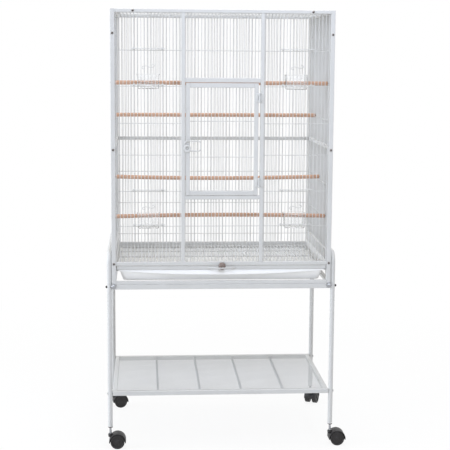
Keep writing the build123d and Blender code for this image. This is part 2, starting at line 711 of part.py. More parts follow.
def tray():
    """Sheet-metal tray with sloping walls, a flange on the runners and a bowed front lip."""
    top_x = ledge_half - SLIDE_GAP
    top_y = (-half_depth + TRAY_FRONT_INSET, panel_in - TRAY_BACK_GAP)
    mid_y = (top_y[0] + top_y[1]) / 2

    def level(z, inset):
        lean = TRAY_SLOPE * (flange_top - z) / (flange_top - tray_low) + inset
        return Pos(0, mid_y, z) * Rectangle(2 * (top_x - lean), top_y[1] - top_y[0] - 2 * lean)

    lip_y = (-half_depth - TRAY_LIP_OUT, -half_depth - TRAY_LIP_OUT + TRAY_WALL)
    flange_y = (lip_y[0] + TRAY_WALL / 2, panel_in - TRAY_BACK_GAP / 2)
    pan = loft([level(tray_low, 0), level(flange_top, 0)], ruled=True)
    pan += block((-slide_half, slide_half), flange_y, (flange_low, flange_top))
    lip_half = post_in - TRAY_LIP_END_GAP
    lip_end = tray_top - TRAY_LIP_END
    edge = Polyline((lip_half, lip_end), (lip_half, tray_top), (-lip_half, tray_top), (-lip_half, lip_end))
    bow = ThreePointArc((-lip_half, lip_end), (0, tray_top - TRAY_LIP_MIDDLE), (lip_half, lip_end))
    lip = extrude(make_face(edge.edges() + bow.edges()), amount=TRAY_WALL)
    pan += Pos(0, lip_y[1], 0) * Rot(90, 0, 0) * lip
    return pan - loft([level(tray_low + TRAY_WALL, TRAY_WALL), level(flange_top, TRAY_WALL)], ruled=True)


# Front strip of the grate, which carries its knob and its pull.
strip_y = (-half_depth + STRIP_INSET, -half_depth + STRIP_INSET + STRIP_THICK)
strip_z = (grate_ledge_low, slot_top - STRIP_TOP_GAP)
rim_z = grate_ledge_top + RUN_GAP + GRATE_RIM / 2
pull_z = strip_z[0] + PULL_HEIGHT
knob_z = tray_top + KNOB_HEIGHT / 2 + RUN_GAP


def floor_grate():
    """Sliding floor grate: rim, cross bars, wires from front to back and the front strip."""
    rim_x = slide_half - GRATE_RIM / 2
    back = panel_in - TRAY_BACK_GAP
    strip_half = post_in - SLIDE_GAP - RUNNER_SHEET
    pieces = [block((-strip_half, strip_half), strip_y, strip_z)]
    for side in (-1, 1):
        x = side * rim_x
        pieces.append(rod((x, strip_y[1], rim_z), (x, back, rim_z), GRATE_RIM, WELD_GAP))
    inner = rim_x - GRATE_RIM / 2
    spacing = (back - strip_y[1]) / (GRATE_BARS + 1)
    for index in range(1, GRATE_BARS + 2):
        y = strip_y[1] + index * spacing - GRATE_RIM / 2
        pieces.append(rod((-inner, y, rim_z), (inner, y, rim_z), GRATE_RIM, WELD_GAP))
    wire_z = rim_z + GRATE_RIM / 2 + WIRE / 2 - WIRE_SINK
    for x in wire_places(-inner, inner).values():
        pieces.append(rod((x, strip_y[1], wire_z), (x, back, wire_z), WIRE, WELD_GAP))
    return pieces


def grate_knob():
    """Oval knob on a neck in front of the strip."""
    neck_front = -half_depth - KNOB_STANDOFF
    knob = extrude(Ellipse(KNOB_WIDTH / 2, KNOB_HEIGHT / 2), amount=KNOB_THICK)
    knob = fillet(knob.edges().group_by(Axis.Z)[-1], KNOB_ROUND)
    neck_z = (strip_z[0] + strip_z[1]) / 2
    neck = rod((0, strip_y[0], neck_z), (0, neck_front, neck_z), KNOB_NECK)
    return neck + Pos(0, neck_front, knob_z) * Rot(90, 0, 0) * knob


def grate_pull():
    """Bowed wire pull in front of the strip, cut flush with it."""
    half = PULL_SPAN / 2
    crown = (0, strip_y[0] - PULL_REACH, pull_z)
    line = ThreePointArc((-half, strip_y[1], pull_z), crown, (half, strip_y[1], pull_z))
    pull = sweep(Plane(line @ 0, z_dir=line % 0) * Circle(PULL_WIRE / 2), path=line)
    behind_z = (pull_z - PULL_WIRE, pull_z + PULL_WIRE)
    behind = block((-PULL_SPAN, PULL_SPAN), (strip_y[0], half_depth), behind_z)
    return pull - behind


# Stand places: leg axes, rail planes and bolt heights.
leg_x = half_width + HOOP_SIDE_GAP + HOOP_TUBE / 2
leg_y = half_depth - HOOP_INSET
rail_bolt_z = STAND_HEIGHT - STAND_RAIL / 2
shelf_top = SHELF_HEIGHT + SHELF_RAIL
shelf_bolt_z = SHELF_HEIGHT + SHELF_RAIL / 2


def stand_hoop(side):
    """Bent tube hoop: two legs and the bar over them beside the cage, drilled for the leg bolts."""
    x = side * leg_x
    high = STAND_HEIGHT + HOOP_RISE
    corners = [(x, -leg_y, LEG_END), (x, -leg_y, high), (x, leg_y, high), (x, leg_y, LEG_END)]
    line = FilletPolyline(*corners, radius=HOOP_BEND)
    ring = Circle(HOOP_TUBE / 2) - Circle(HOOP_TUBE / 2 - HOOP_WALL)
    hoop = sweep(Plane(line @ 0, z_dir=line % 0) * ring, path=line)
    for y in (-leg_y, leg_y):
        for z in (rail_bolt_z, shelf_bolt_z):
            hoop -= rod((x - HOOP_TUBE, y, z), (x + HOOP_TUBE, y, z), LEG_BOLT + LEG_BOLT_FIT)
    return hoop


def bolted_rail(y, z, size):
    """Long rail between the legs, closed at each end by a drilled plate."""
    limits_y = (y - size / 2, y + size / 2)
    pieces = [beam("X", (-half_width, half_width), limits_y, (z - size / 2, z + size / 2), weld=0.0)]
    inset = TUBE_WALL + WELD_GAP
    plate_y = (limits_y[0] + inset, limits_y[1] - inset)
    plate_z = (z - size / 2 + inset, z + size / 2 - inset)
    for side in (-1, 1):
        plate = block(mirrored((half_width - END_PLATE, half_width), side), plate_y, plate_z)
        hole = rod((-CAGE_WIDTH, y, z), (CAGE_WIDTH, y, z), LEG_BOLT + LEG_BOLT_FIT)
        pieces.append(plate - hole)
    return pieces


def stand_rails():
    """Front and rear long rails, drilled for the clamp bolts."""
    pieces = []
    for facing in (-1, 1):
        shell, *plates = bolted_rail(facing * leg_y, rail_bolt_z, STAND_RAIL)
        for side in (-1, 1):
            at = (side * (half_width - CLAMP_BOLT_INSET), STAND_HEIGHT - CLAMP_BOLT_DROP)
            outer = facing * (leg_y + STAND_RAIL / 2)
            shell -= rod((at[0], outer - STAND_RAIL / 2, at[1]), (at[0], outer + STAND_RAIL / 2, at[1]),
                         CLAMP_BOLT + LEG_BOLT_FIT)
        pieces += [shell, *plates]
    return pieces


def leg_bolts():
    """Acorn-headed bolts through the legs into the rails and the shelf."""
    seat = leg_x + HOOP_TUBE / 2
    length = seat - half_width + END_PLATE + WELD_GAP
    pieces = []
    for side in (-1, 1):
        for y in (-leg_y, leg_y):
            for z in (rail_bolt_z, shelf_bolt_z):
                plane = Plane((side * seat, y, z), x_dir=(0, 1, 0), z_dir=(side, 0, 0))
                pieces.append(plane * bolt(LEG_BOLT, length, LEG_BOLT_HEAD, LEG_BOLT_HEAD_HEIGHT,
                                           LEG_BOLT_HEAD_ROUND))
    return pieces


def clamp_bolts():
    """Dome bolts with wide washers that clamp the cage's foot to the stand rails."""
    pieces = []
    for facing in (-1, 1):
        for side in (-1, 1):
            at = (side * (half_width - CLAMP_BOLT_INSET), STAND_HEIGHT - CLAMP_BOLT_DROP)
            outer = facing * (leg_y + STAND_RAIL / 2)
            face = {"x_dir": (1, 0, 0), "z_dir": (0, facing, 0)}
            ring = washer(CLAMP_WASHER, CLAMP_BOLT + LEG_BOLT_FIT, CLAMP_WASHER_THICK)
            pieces.append(Plane((at[0], outer, at[1]), **face) * ring)
            seat = outer + facing * (CLAMP_WASHER_THICK + WELD_GAP)
            dome = bolt(CLAMP_BOLT, CLAMP_BOLT_LENGTH, CLAMP_BOLT_HEAD, CLAMP_BOLT_HEAD_HEIGHT,
                        CLAMP_BOLT_HEAD_ROUND)
            pieces.append(Plane((at[0], seat, at[1]), **face) * dome)
    return pieces


def shelf_frame():
    """Shelf rails between the legs, end rails and bars from front to back under the shelf wires."""
    rail_in = leg_y - SHELF_RAIL / 2
    pieces = []
    for facing in (-1, 1):
        pieces += bolted_rail(facing * leg_y, shelf_bolt_z, SHELF_RAIL)
    ends = [mirrored((post_in, half_width), side) for side in (-1, 1)]
    for x in ends:
        pieces.append(beam("Y", x, (-rail_in, rail_in), (SHELF_HEIGHT, shelf_top)))
    bar_top = shelf_top - WIRE
    for middle in SHELF_BARS:
        x = (middle - SHELF_BAR / 2, middle + SHELF_BAR / 2)
        pieces.append(beam("Y", x, (-rail_in, rail_in), (bar_top - SHELF_BAR_HEIGHT, bar_top)))
    return pieces


def shelf_wires():
    """Wires along the shelf on its bars."""
    rail_in = leg_y - SHELF_RAIL / 2
    z = shelf_top - WIRE / 2
    return [wire((-post_in, y, z), (post_in, y, z)) for y in wire_places(-rail_in, rail_in).values()]


# Caster levels.
axle_z = WHEEL / 2
hood_radius = WHEEL / 2 + HOOD_GAP + HOOD_SHELL
stem_low = LEG_END - SOCKET_FLANGE - STEM_SHOW
wheel_in = HOOD_WEB / 2 + WHEEL_SIDE_GAP
wheel_out = wheel_in + WHEEL_WIDTH


def leg_socket():
    """Plastic insert in the end of a leg, with a flange under the leg and a bore for the stem."""
    flange = extrude(Circle(HOOP_TUBE / 2), amount=-SOCKET_FLANGE)
    plug = extrude(Circle(HOOP_TUBE / 2 - HOOP_WALL - SOCKET_FIT / 2), amount=SOCKET_LENGTH)
    bore = Cylinder((STEM + STUD_FIT) / 2, 2 * (SOCKET_LENGTH + SOCKET_FLANGE))
    return Pos(0, 0, LEG_END) * (flange + plug - bore)


def caster_stem():
    """Round stem from the hood's socket up into the leg."""
    return rod((0, 0, stem_low - STEM_SOCKET + RUN_GAP), (0, 0, LEG_END + STEM_GRIP), STEM)


def caster_hood():
    """Caster hood over both wheels, with a centre web and a boss for the stem, trailing along +X."""
    half = wheel_out
    side_view = Plane((TRAIL, half, axle_z), x_dir=(1, 0, 0), z_dir=(0, -1, 0))
    keep = Pos(0, hood_radius - HOOD_SKIRT) * Rectangle(2 * hood_radius, 2 * hood_radius)
    hood = side_view * extrude(Circle(hood_radius) & keep, amount=2 * half)
    for side in (-1, 1):
        inner = (TRAIL, side * HOOD_WEB / 2, axle_z)
        hood -= rod(inner, (TRAIL, side * 2 * half, axle_z), WHEEL + 2 * HOOD_GAP)
    socket_low = stem_low - STEM_SOCKET
    hood += rod((0, 0, socket_low), (0, 0, stem_low), HOOD_BOSS)
    hood -= rod((0, 0, socket_low), (0, 0, stem_low), STEM + STEM_FIT)
    return hood - rod((TRAIL, -half, axle_z), (TRAIL, half, axle_z), AXLE + AXLE_FIT)


def caster_axle():
    """Axle of one caster, through the web and both wheels."""
    half = wheel_out - AXLE_SHOULDER
    return rod((TRAIL, -half, axle_z), (TRAIL, half, axle_z), AXLE)


def caster_wheels():
    """Pair of wheels on one axle, each dished on its outer face."""
    wheel = fillet(Cylinder(WHEEL / 2, WHEEL_WIDTH).edges(), WHEEL_ROUND)
    dish = extrude(Circle(WHEEL_DISH / 2) - Circle(WHEEL_HUB / 2), amount=-WHEEL_DISH_DEPTH)
    wheel -= Pos(0, 0, WHEEL_WIDTH / 2) * dish
    wheel -= Cylinder((AXLE + STUD_FIT) / 2, 2 * WHEEL_WIDTH)
    pieces = []
    for side in (-1, 1):
        place = Plane((TRAIL, side * (wheel_in + wheel_out) / 2, axle_z), x_dir=(1, 0, 0), z_dir=(0, side, 0))
        pieces.append(place * wheel)
    return pieces


os.makedirs("parts", exist_ok=True)

# Cage panels.
save("front_frame", front_frame())
save("front_wires", front_wires())
for side_name, side_sign in (("left", -1), ("right", 1)):
    save(f"{side_name}_side_frame", side_frame(side_sign))
    save(f"{side_name}_side_wires", side_wires(side_sign))
    save(f"stand_hoop_{side_name}", [stand_hoop(side_sign)])
save("back_frame", back_frame())
save("back_wires", back_wires())
save("roof_frame", roof_frame())
save("roof_wires", roof_wires())
save("panel_bolts", panel_bolts())

# Front door, hinges and latch.
save("door_frame", door_frame())
save("door_wires", door_wires())
save("door_hinge_pins", [hinge_pin(door_z[0] + height) for height in HINGE_HEIGHTS])
save("door_hinge_knuckles", [hinge_knuckle(door_z[0] + height) for height in HINGE_HEIGHTS])
save("latch_hub", [latch_hub()])
save("latch_lever", [latch_lever()])
save("latch_cam", [latch_cam()])

# Feeder doors and cups.
for side_name, side_sign in (("left", -1), ("right", 1)):
    for level_name, sill_z in zip(("lower", "upper"), feeder_sills):
        save(f"feeder_door_{level_name}_{side_name}", feeder_door(side_sign * feeder_x, sill_z))
        save(f"feeder_cup_{level_name}_{side_name}", [feeder_cup(side_sign * feeder_x, sill_z)])

# Perches and their fasteners.
for perch_name in PERCHES:
    save(perch_name, [perch(perch_name)])
perch_studs, perch_washers, perch_wing_nuts = perch_fasteners()
save("perch_studs", perch_studs)
save("perch_washers", perch_washers)
save("perch_wing_nuts", perch_wing_nuts)

# Tray, grate and their runners.
save("tray_runners", [tray_runner(-1), tray_runner(1)])
save("tray", [tray()])
save("floor_grate", floor_grate())
save("grate_knob", [grate_knob()])
save("grate_pull", [grate_pull()])

# Stand, shelf and casters.
save("stand_rails", stand_rails())
save("leg_bolts", leg_bolts())
save("clamp_bolts", clamp_bolts())
save("shelf_frame", shelf_frame())
save("shelf_wires", shelf_wires())
leg_places = {name: Pos(x_sign * leg_x, y_sign * leg_y, 0) for name, (x_sign, y_sign, _) in CASTERS.items()}
save("leg_sockets", [place * leg_socket() for place in leg_places.values()])
save("caster_stems", [place * caster_stem() for place in leg_places.values()])
for caster_name, place in leg_places.items():
    turned = place * Rot(0, 0, CASTERS[caster_name][2])
    save(f"caster_hood_{caster_name}", [turned * caster_hood()])
    save(f"caster_axle_{caster_name}", [turned * caster_axle()])
    save(f"caster_wheels_{caster_name}", [turned * wheel for wheel in caster_wheels()])
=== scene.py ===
import json
from math import asin, cos, pi, radians, sin, sqrt, tan, tau

import bmesh
import bpy
from bpy.props import FloatProperty, FloatVectorProperty, PointerProperty
from mathutils import Matrix, Vector


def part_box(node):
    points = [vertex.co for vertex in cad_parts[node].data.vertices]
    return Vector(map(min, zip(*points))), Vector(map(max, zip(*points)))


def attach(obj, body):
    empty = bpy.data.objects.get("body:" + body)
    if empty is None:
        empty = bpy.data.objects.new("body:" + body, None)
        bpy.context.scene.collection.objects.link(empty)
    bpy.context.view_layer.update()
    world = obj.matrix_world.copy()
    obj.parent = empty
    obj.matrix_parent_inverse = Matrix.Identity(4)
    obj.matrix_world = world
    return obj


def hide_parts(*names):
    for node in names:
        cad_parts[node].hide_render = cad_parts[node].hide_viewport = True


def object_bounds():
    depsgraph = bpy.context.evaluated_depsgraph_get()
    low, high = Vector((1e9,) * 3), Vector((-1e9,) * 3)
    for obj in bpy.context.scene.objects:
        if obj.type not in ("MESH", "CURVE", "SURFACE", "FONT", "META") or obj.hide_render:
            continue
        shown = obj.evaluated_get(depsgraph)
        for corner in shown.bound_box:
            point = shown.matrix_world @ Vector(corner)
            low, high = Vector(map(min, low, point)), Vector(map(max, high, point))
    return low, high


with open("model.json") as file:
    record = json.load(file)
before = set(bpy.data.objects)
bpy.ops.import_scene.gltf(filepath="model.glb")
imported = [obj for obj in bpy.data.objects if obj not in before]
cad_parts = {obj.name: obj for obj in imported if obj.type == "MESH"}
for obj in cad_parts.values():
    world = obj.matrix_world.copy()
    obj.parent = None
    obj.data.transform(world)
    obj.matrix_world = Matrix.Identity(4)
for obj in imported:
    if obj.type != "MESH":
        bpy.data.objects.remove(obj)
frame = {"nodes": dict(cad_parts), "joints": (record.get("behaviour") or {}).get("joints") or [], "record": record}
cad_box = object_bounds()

bl_info = {
    "name": "Bird cage on stand",
    "version": (1, 0, 0),
    "blender": (4, 5, 0),
    "location": "View3D > Sidebar > Bird cage",
    "description": "Dresses the bird cage on its stand with finishes, fittings, casters and a studio stage",
    "category": "Object",
}

MM = 0.001
MERGE = 0.002 * MM
# Share of a wire's thickness by which its ends are rounded.
WIRE_END = 0.3
X_AXIS, Y_AXIS, Z_AXIS = Vector((1, 0, 0)), Vector((0, 1, 0)), Vector((0, 0, 1))
ROOT = "cage_and_stand"
CORNERS = ("front_left", "front_right", "rear_left", "rear_right")
FEEDERS = ("lower_left", "lower_right", "upper_left", "upper_right")
SLOTS = {row["node"]: row["material_slot"] for row in frame["record"]["subparts"]}
JOINTS = {joint["name"]: joint for joint in frame["joints"]}
FINISHES = {}


def hex_colour(code):
    """Linear colour of an sRGB hex value."""
    channels = [int(code[place:place + 2], 16) / 255 for place in (1, 3, 5)]
    return tuple(c / 12.92 if c <= 0.04045 else ((c + 0.055) / 1.055) ** 2.4 for c in channels)


def colour(name, description, code):
    """Colour that a user would change."""
    return FloatVectorProperty(name=name, description=description, subtype="COLOR", size=3, min=0, max=1,
                               default=hex_colour(code))


def length(name, description, millimetres):
    """Length that a user would change, in scene units."""
    return FloatProperty(name=name, description=description, unit="LENGTH", subtype="DISTANCE", min=0,
                         precision=5, default=millimetres * MM)


def tilt(name, description, degrees):
    """Angle that a user would change."""
    return FloatProperty(name=name, description=description, subtype="ANGLE", default=radians(degrees))


def lamp_power(name, description, watts):
    """Power of a lamp that a user would change."""
    return FloatProperty(name=name, description=description, unit="POWER", min=0, default=watts)


class CageColours(bpy.types.PropertyGroup):
    """Colours of the finishes."""

    coat: colour("Powder coat", "White coat on tubes and wires", "#D2D2D0")
    coat_shade: colour("Coat shade", "Slightly duller stretches of the same coat", "#C6C6C4")
    sheet: colour("Sheet enamel", "Brighter white of the tray and the runners", "#F2F2F0")
    sheet_shade: colour("Sheet shade", "Slightly duller stretches of the enamel", "#EBEAE8")
    perch: colour("Perch wood", "Main tone of the sanded perches", "#D0A78D")
    perch_grain: colour("Perch grain", "Darker grain lines of the perches", "#84604B")
    cup: colour("Cup plastic", "Clear moulded cups", "#FFFFFF")
    caster: colour("Caster nylon", "Black hoods and wheels", "#141112")
    caster_wear: colour("Caster wear", "Dusty grey patches on hoods and wheels", "#282425")
    knob: colour("Knob plastic", "Glossy grey-brown knob of the grate", "#7E6F68")
    socket: colour("Socket plastic", "Dark brown inserts of the legs", "#3A211B")
    chrome: colour("Chrome", "Caster stems and clamp bolts", "#A8AAAE")
    zinc: colour("Zinc plate", "Panel bolts, studs and nuts", "#A79F9B")
    black_steel: colour("Black steel", "Acorn nuts on the legs", "#241C1A")
    floor: colour("Studio floor", "Plain pale floor", "#E4E4E4")


class CageSizes(bpy.types.PropertyGroup):
    """Sizes of the fittings that the frame's boxes don't give."""

    wire: length("Wire", "Diameter of the panel wires", 2.4)
    wire_pitch: length("Wire pitch", "Spacing of the panel wires", 12.7)
    perch_end: length("Perch end", "Rounding at the ends of the perches", 1.6)
    cup_depth: length("Cup depth", "Depth of a cup from front to back at its rim", 58)
    cup_height: length("Cup height", "Height of a cup", 53)
    cup_taper: length("Cup taper", "How much narrower a cup is at its foot", 6)
    cup_wall: length("Cup wall", "Wall of the moulded cups", 2)
    cup_round: length("Cup corner", "Corner radius of the cups", 8)
    cup_rim: length("Cup rim", "Overhang of the cup's rim", 1.6)
    cup_drop: length("Cup drop", "Depth of a cup below the wire that it hangs on", 9.5)
    hook_width: length("Hook width", "Width of a cup's hooks", 8)
    hook_thick: length("Hook thickness", "Thickness of a cup's hooks", 2)
    hook_drop: length("Hook drop", "Height of a hook's end above the foot of its cup", 2.5)
    feeder_bar: length("Feeder bar", "Diameter of a feeder door's bars", 3)
    guide_sleeve: length("Guide sleeve", "Diameter and height of a feeder door's sleeves", 8)
    guide_bore: length("Guide bore", "Bore of a feeder door's sleeves", 3.2)
    curl_sweep: length("Curl sweep", "Radius of the open part of the feeder door's curl", 26)
    curl_hook: length("Curl hook", "Radius of the closed part of the feeder door's curl", 5)
    curl_rise: length("Curl rise", "Height of the curl over the middle of its opening", 0.3)
    hub_thick: length("Latch hub thickness", "Thickness of the latch's hub", 7)
    lever_bend: length("Lever bend", "Bend radius of the latch's lever", 9)
    hinge_barrel: length("Hinge barrel", "Diameter of the hinge barrels", 6.4)
    hinge_leaf: length("Hinge leaf", "Thickness of the hinge leaves", 2)
    hinge_leaf_width: length("Hinge leaf width", "Width of the hinge leaves", 12)
    hinge_knuckle: length("Hinge knuckle", "Length of the door's hinge barrel", 17.4)
    pull_wire: length("Pull wire", "Diameter of the grate's bow pull", 4)
    pull_span: length("Pull span", "Width of the grate's bow pull", 104)
    strip_thick: length("Strip", "Thickness of the grate's front strip", 2)
    knob_thick: length("Knob thickness", "Thickness of the grate's knob", 12)
    knob_neck: length("Knob neck", "Diameter of the knob's neck", 8)
    tray_sheet: length("Tray sheet", "Sheet of the tray", 2)
    tray_slope: length("Tray slope", "How far the tray's walls lean in", 12.5)
    tray_round: length("Tray corner", "Corner radius of the tray", 14)
    tray_flange: length("Tray flange", "Overhang of the tray on its runners", 10)
    tray_front: length("Tray front", "Distance of the tray's front wall behind its lip", 8)
    tray_back: length("Tray back", "Overhang of the tray's flange at its back", 4.5)
    tray_rise: length("Tray lip rise", "Height of the lip over the tray's flange", 2.5)
    lip_half: length("Tray lip half", "Half of the lip's length", 377)
    lip_lean: length("Tray lip lean", "How far the lip's top stands behind its lowest point", 8)
    lip_end: length("Tray lip end", "Depth of the front lip at its ends", 4)
    lip_middle: length("Tray lip middle", "Depth of the front lip at its middle", 18)
    bolt_head: length("Panel bolt head", "Diameter of the panel bolts' heads", 9)
    bolt_head_height: length("Panel bolt head height", "Height of the panel bolts' heads", 3.2)
    acorn: length("Acorn nut", "Width of the acorn nuts across their corners", 10)
    acorn_height: length("Acorn height", "Height of the acorn nuts", 6)
    clamp_head: length("Clamp head", "Diameter of the clamp bolts' domes", 13)
    clamp_head_height: length("Clamp head height", "Height of the clamp bolts' domes", 5)
    wheel: length("Wheel", "Diameter of the caster wheels", 52)
    wheel_width: length("Wheel width", "Width of one caster wheel", 18)
    wheel_gap: length("Wheel gap", "Distance of a wheel's inner face from the caster's middle", 6.5)
    hood_web: length("Hood web", "Thickness of the web between the wheels", 11)
    hood_shell: length("Hood shell", "Thickness of the hood over the wheels", 3.4)
    hood_gap: length("Hood gap", "Room between the wheels and the hood", 1.6)
    hood_skirt: length("Hood skirt", "How far the hood reaches below the axle", 4)


class StageSettings(bpy.types.PropertyGroup):
    """Camera and lights of the studio."""

    camera_place: FloatVectorProperty(name="Camera place", description="Where the camera stands", size=3,
                                      subtype="TRANSLATION", unit="LENGTH", default=(-0.2866, -4.402, 1.4176))
    camera_yaw: tilt("Camera yaw", "Turn of the camera towards +X", 4.1)
    camera_pitch: tilt("Camera pitch", "Tilt of the camera above the horizon", -8.04)
    camera_roll: tilt("Camera roll", "Lean of the picture", 0.37)
    lens: FloatProperty(name="Lens", description="Focal length on a 36 mm sensor", unit="CAMERA", min=1,
                        default=92.5)
    key_power: lamp_power("Key power", "Cool soft lamp high in front", 26)
    top_power: lamp_power("Top power", "Large soft lamp high over the cage", 440)
    left_power: lamp_power("Left power", "Large cool lamp far out on the left", 370)
    right_power: lamp_power("Right power", "Warm soft lamp on the right", 6)
    ambient: FloatProperty(name="Ambient", description="Even light from all round", min=0, default=0.44)
    floor_glow: FloatProperty(name="Floor glow", min=0, max=1, default=0.9,
                              description="Share of plain white in the floor near the cage")


def add_node(tree, kind, inputs=None, **settings):
    """Add a node with its settings; an input is a plain value or the socket that feeds it."""
    node = tree.nodes.new(kind)
    for key, value in settings.items():
        setattr(node, key, value)
    for key, value in (inputs or {}).items():
        if isinstance(value, bpy.types.NodeSocket):
            tree.links.new(value, node.inputs[key])
        else:
            node.inputs[key].default_value = value
    return node


def start_material(name):
    """New node material and the socket of its Object coordinates."""
    material = bpy.data.materials.new(name)
    material.use_nodes = True
    tree = material.node_tree
    tree.nodes.clear()
    return material, tree, add_node(tree, "ShaderNodeTexCoord").outputs["Object"]


def end_material(tree, shader):
    """Join the last shader to the material's output."""
    add_node(tree, "ShaderNodeOutputMaterial", {"Surface": shader.outputs[0]})


def rgba(value):
    """Colour of a property with full alpha."""
    return (*value, 1.0)


def powder_coated_steel(name, tone, shade):
    """Polyester powder baked on steel: even white, a faint orange-peel ripple and a soft sheen."""
    material, tree, place = start_material(name)
    # The tone drifts over about 90 mm where the coat is thicker.
    drift = add_node(tree, "ShaderNodeTexNoise", {"Vector": place, "Scale": 1 / (90 * MM), "Detail": 3.0})
    blend = add_node(tree, "ShaderNodeMix", {0: drift.outputs["Fac"], 6: rgba(shade), 7: rgba(tone)},
                     data_type="RGBA")
    # Orange peel is about 1 mm across and is drawn at 3 mm so that it shows.
    peel = add_node(tree, "ShaderNodeTexNoise", {"Vector": place, "Scale": 1 / (3 * MM), "Detail": 2.0})
    gloss = add_node(tree, "ShaderNodeMapRange", {"Value": peel.outputs["Fac"], "To Min": 0.34,
                                                  "To Max": 0.46})
    ripple = add_node(tree, "ShaderNodeBump", {"Height": peel.outputs["Fac"], "Strength": 0.12,
                                               "Distance": 0.25 * MM})
    shader = add_node(tree, "ShaderNodeBsdfPrincipled", {
        "Base Color": blend.outputs[2], "Roughness": gloss.outputs["Result"], "IOR": 1.5,
        "Normal": ripple.outputs["Normal"]})
    end_material(tree, shader)
    return material


def sanded_dowel(colours):
    """Sanded hardwood dowel: warm tan with grain lines along its length and a dry surface."""
    material, tree, place = start_material("sanded_dowel")
    # Grain lines are about 1.5 mm wide and run for about 80 mm along X.
    stretched = add_node(tree, "ShaderNodeMapping", {"Vector": place, "Scale": (
        1 / (80 * MM), 1 / (1.5 * MM), 1 / (1.5 * MM))})
    grain = add_node(tree, "ShaderNodeTexNoise", {"Vector": stretched.outputs["Vector"], "Scale": 1.0,
                                                  "Detail": 5.0, "Roughness": 0.65})
    lines = add_node(tree, "ShaderNodeMapRange", {"Value": grain.outputs["Fac"], "From Min": 0.42,
                                                  "From Max": 0.68})
    # Lengths of the dowel differ in tone over about 60 mm.
    patch = add_node(tree, "ShaderNodeTexNoise", {"Vector": place, "Scale": 1 / (60 * MM), "Detail": 2.0})
    blend = add_node(tree, "ShaderNodeMath", {0: lines.outputs["Result"], 1: patch.outputs["Fac"]},
                     operation="MULTIPLY")
    tone = add_node(tree, "ShaderNodeMix", {0: blend.outputs[0], 6: rgba(colours.perch),
                                            7: rgba(colours.perch_grain)}, data_type="RGBA")
    ridges = add_node(tree, "ShaderNodeBump", {"Height": grain.outputs["Fac"], "Strength": 0.3,
                                               "Distance": 0.3 * MM})
    shader = add_node(tree, "ShaderNodeBsdfPrincipled", {
        "Base Color": tone.outputs[2], "Roughness": 0.62, "IOR": 1.5, "Normal": ridges.outputs["Normal"]})
    end_material(tree, shader)
    return material


def clear_polystyrene(colours):
    """Moulded clear polystyrene: nearly colourless, with a trace of milkiness and faint flow marks."""
    material, tree, place = start_material("clear_polystyrene")
    # Flow marks of the moulding are about 14 mm long.
    flow = add_node(tree, "ShaderNodeTexNoise", {"Vector": place, "Scale": 1 / (14 * MM), "Detail": 2.0})
    haze = add_node(tree, "ShaderNodeMapRange", {"Value": flow.outputs["Fac"], "To Min": 0.06,
                                                 "To Max": 0.16})
    # The index is low for the plastic, so that the thin walls don't draw dark edges.
    shader = add_node(tree, "ShaderNodeBsdfPrincipled", {
        "Base Color": rgba(colours.cup), "Roughness": haze.outputs["Result"], "IOR": 1.16,
        "Transmission Weight": 0.95})
    end_material(tree, shader)
    return material


def moulded_nylon(colours):
    """Moulded black nylon: dull, finely grained, greyer where dust sits."""
    material, tree, place = start_material("moulded_nylon")
    # Dust lies in patches of about 18 mm.
    dust = add_node(tree, "ShaderNodeTexNoise", {"Vector": place, "Scale": 1 / (18 * MM), "Detail": 4.0})
    amount = add_node(tree, "ShaderNodeMapRange", {"Value": dust.outputs["Fac"], "From Min": 0.5,
                                                   "From Max": 0.8, "To Max": 0.5})
    tone = add_node(tree, "ShaderNodeMix", {0: amount.outputs["Result"], 6: rgba(colours.caster),
                                            7: rgba(colours.caster_wear)}, data_type="RGBA")
    # Mould grain is about 0.4 mm and is drawn at 1.2 mm so that it shows.
    grain = add_node(tree, "ShaderNodeTexNoise", {"Vector": place, "Scale": 1 / (1.2 * MM), "Detail": 2.0})
    pits = add_node(tree, "ShaderNodeBump", {"Height": grain.outputs["Fac"], "Strength": 0.15,
                                             "Distance": 0.2 * MM})
    shader = add_node(tree, "ShaderNodeBsdfPrincipled", {
        "Base Color": tone.outputs[2], "Roughness": 0.48, "IOR": 1.53, "Normal": pits.outputs["Normal"]})
    end_material(tree, shader)
    return material


def smooth_finish(name, tone, roughness):
    """Moulded plastic or dipped steel in one colour, with a faint wave left by the mould or the bath."""
    material, tree, place = start_material(name)
    # The wave is about 6 mm long.
    wave = add_node(tree, "ShaderNodeTexNoise", {"Vector": place, "Scale": 1 / (6 * MM), "Detail": 2.0})
    gloss = add_node(tree, "ShaderNodeMapRange", {"Value": wave.outputs["Fac"], "To Min": roughness - 0.05,
                                                  "To Max": roughness + 0.08})
    dents = add_node(tree, "ShaderNodeBump", {"Height": wave.outputs["Fac"], "Strength": 0.08,
                                              "Distance": 0.3 * MM})
    shader = add_node(tree, "ShaderNodeBsdfPrincipled", {
        "Base Color": rgba(tone), "Roughness": gloss.outputs["Result"], "IOR": 1.5,
        "Normal": dents.outputs["Normal"]})
    end_material(tree, shader)
    return material


